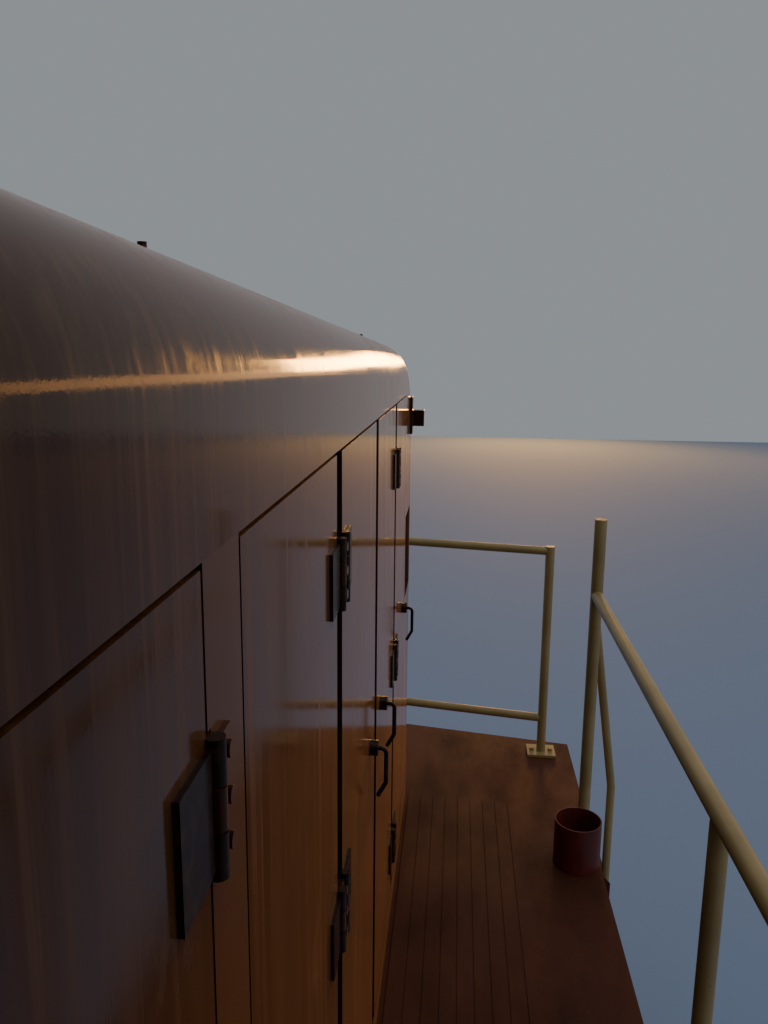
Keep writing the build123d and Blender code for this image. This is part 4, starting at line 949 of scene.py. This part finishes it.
def gasket(centre, width, height, facing, wall_out, wall_in):
    """A window's gasket. The pane lies at centre, the wall's faces wall_out and wall_in from it."""
    half = GLASS_T / 2
    rings = [
        framed(width, height, BITE, 0, half, wall_out + PROUD),
        framed(width, height, 0, LAP, wall_out, wall_out + PROUD),
        framed(width, height, BITE, 0, -wall_in - PROUD, -half),
        framed(width, height, 0, LAP, -wall_in - PROUD, -wall_in),
    ]
    piece = joined(rings)
    across = Vector((0, 0, 1)).cross(Vector(facing))
    turn = Matrix((across, (0, 0, 1), facing)).transposed().to_4x4()
    piece.matrix_world = Matrix.Translation(centre) @ turn
    picked(piece)
    bpy.ops.object.transform_apply()
    return piece


cab_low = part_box("cab_sides")[0]
glass_low, glass_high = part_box("cab_glass")
window_mid_z = cab_floor_top + 1.35
window_h = 0.80
CAB_WALL = 0.040
side_pane_y = glass_low.y + GLASS_T / 2
end_pane_x = glass_high.x - GLASS_T / 2
side_rings = []
for x in (-0.53, 0.53):
    at = (x, side_pane_y, window_mid_z)
    wall_out = side_pane_y - cab_low.y
    side_rings.append(gasket(at, 0.90, window_h, (0, -1, 0), wall_out, CAB_WALL - wall_out))
gaskets = joined(side_rings)
finished(copied(gaskets, flip_y=True), "side_gaskets_left", rubber, "locomotive", 40)
finished(gaskets, "side_gaskets_right", rubber, "locomotive", 40)
end_wall_out = cab_end_x - end_pane_x
HOOD_WINDOW_Y = 0.31
DOOR_MID_Y = 1.09
hood_window_h = glass_high.z - (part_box("hood_roofs")[1].z + 0.060)
hood_window_z = glass_high.z - hood_window_h / 2
# columns: middle across the cab, middle in height, width, height
END_WINDOWS = (
    (-HOOD_WINDOW_Y, hood_window_z, 0.50, hood_window_h),
    (HOOD_WINDOW_Y, hood_window_z, 0.50, hood_window_h),
    (DOOR_MID_Y, window_mid_z, 0.52, window_h),
)
end_rings = []
for y, z, width, height in END_WINDOWS:
    at = (end_pane_x, y, z)
    end_rings.append(gasket(at, width, height, (1, 0, 0), end_wall_out, CAB_WALL - end_wall_out))
gaskets = joined(end_rings)
finished(copied(gaskets, True, True), "end_gaskets_rear", rubber, "locomotive", 40)
finished(gaskets, "end_gaskets_front", rubber, "locomotive", 40)
door_window = (end_pane_x, -DOOR_MID_Y, window_mid_z)
door_gasket = gasket(door_window, 0.41, window_h, (1, 0, 0), end_wall_out, CAB_WALL - end_wall_out)
pane_low = (end_pane_x - GLASS_T / 2, -DOOR_MID_Y - 0.204, window_mid_z - window_h / 2 + 0.001)
pane_high = (end_pane_x + GLASS_T / 2, -DOOR_MID_Y + 0.204, window_mid_z + window_h / 2 - 0.001)
door_pane = block(pane_low, pane_high, 0.001, 1)
for end, flip in (("front", False), ("rear", True)):
    door = f"cab_door_{end}"
    finished(copied(door_gasket, flip, flip), f"cab_door_gasket_{end}", rubber, door, 40)
    finished(copied(door_pane, flip, flip), f"cab_door_pane_{end}", pane_glass, door, 40)
bpy.data.objects.remove(door_gasket)
bpy.data.objects.remove(door_pane)

# Wipers on the windows over the hoods: a thin steel arm from a driven spindle, and a blade of black
# rubber.
SPINDLE_LINE = ((0.014, 0.0), (0.014, 0.018), (0.010, 0.024), (0.007, 0.030))
wipers = []
for y in (-HOOD_WINDOW_Y, HOOD_WINDOW_Y):
    spindle = Vector((cab_end_x, y - 0.20, hood_window_z + hood_window_h / 2 + 0.030))
    wipers.append(turned(spindle, (1, 0, 0), SPINDLE_LINE, 16))
    tip = Vector((cab_end_x + 0.021, y - 0.02, hood_window_z - 0.01))
    arm_from = spindle + Vector((0.021, 0, 0))
    way = (tip - arm_from).normalized()
    arm_line = [(0.0055, -0.006), (0.0055, 0.10), (0.0035, (tip - arm_from).length)]
    wipers.append(turned(arm_from, way, arm_line, 8))
    blade_low = (cab_end_x + 0.012, y - 0.026, hood_window_z - 0.12)
    wipers.append(block(blade_low, (cab_end_x + 0.018, y - 0.014, hood_window_z + 0.10), 0.002, 1))
wiper_set = joined(wipers)
finished(copied(wiper_set, True, True), "wipers_rear", dark_plastic, "locomotive", 40)
finished(wiper_set, "wipers_front", dark_plastic, "locomotive", 40)
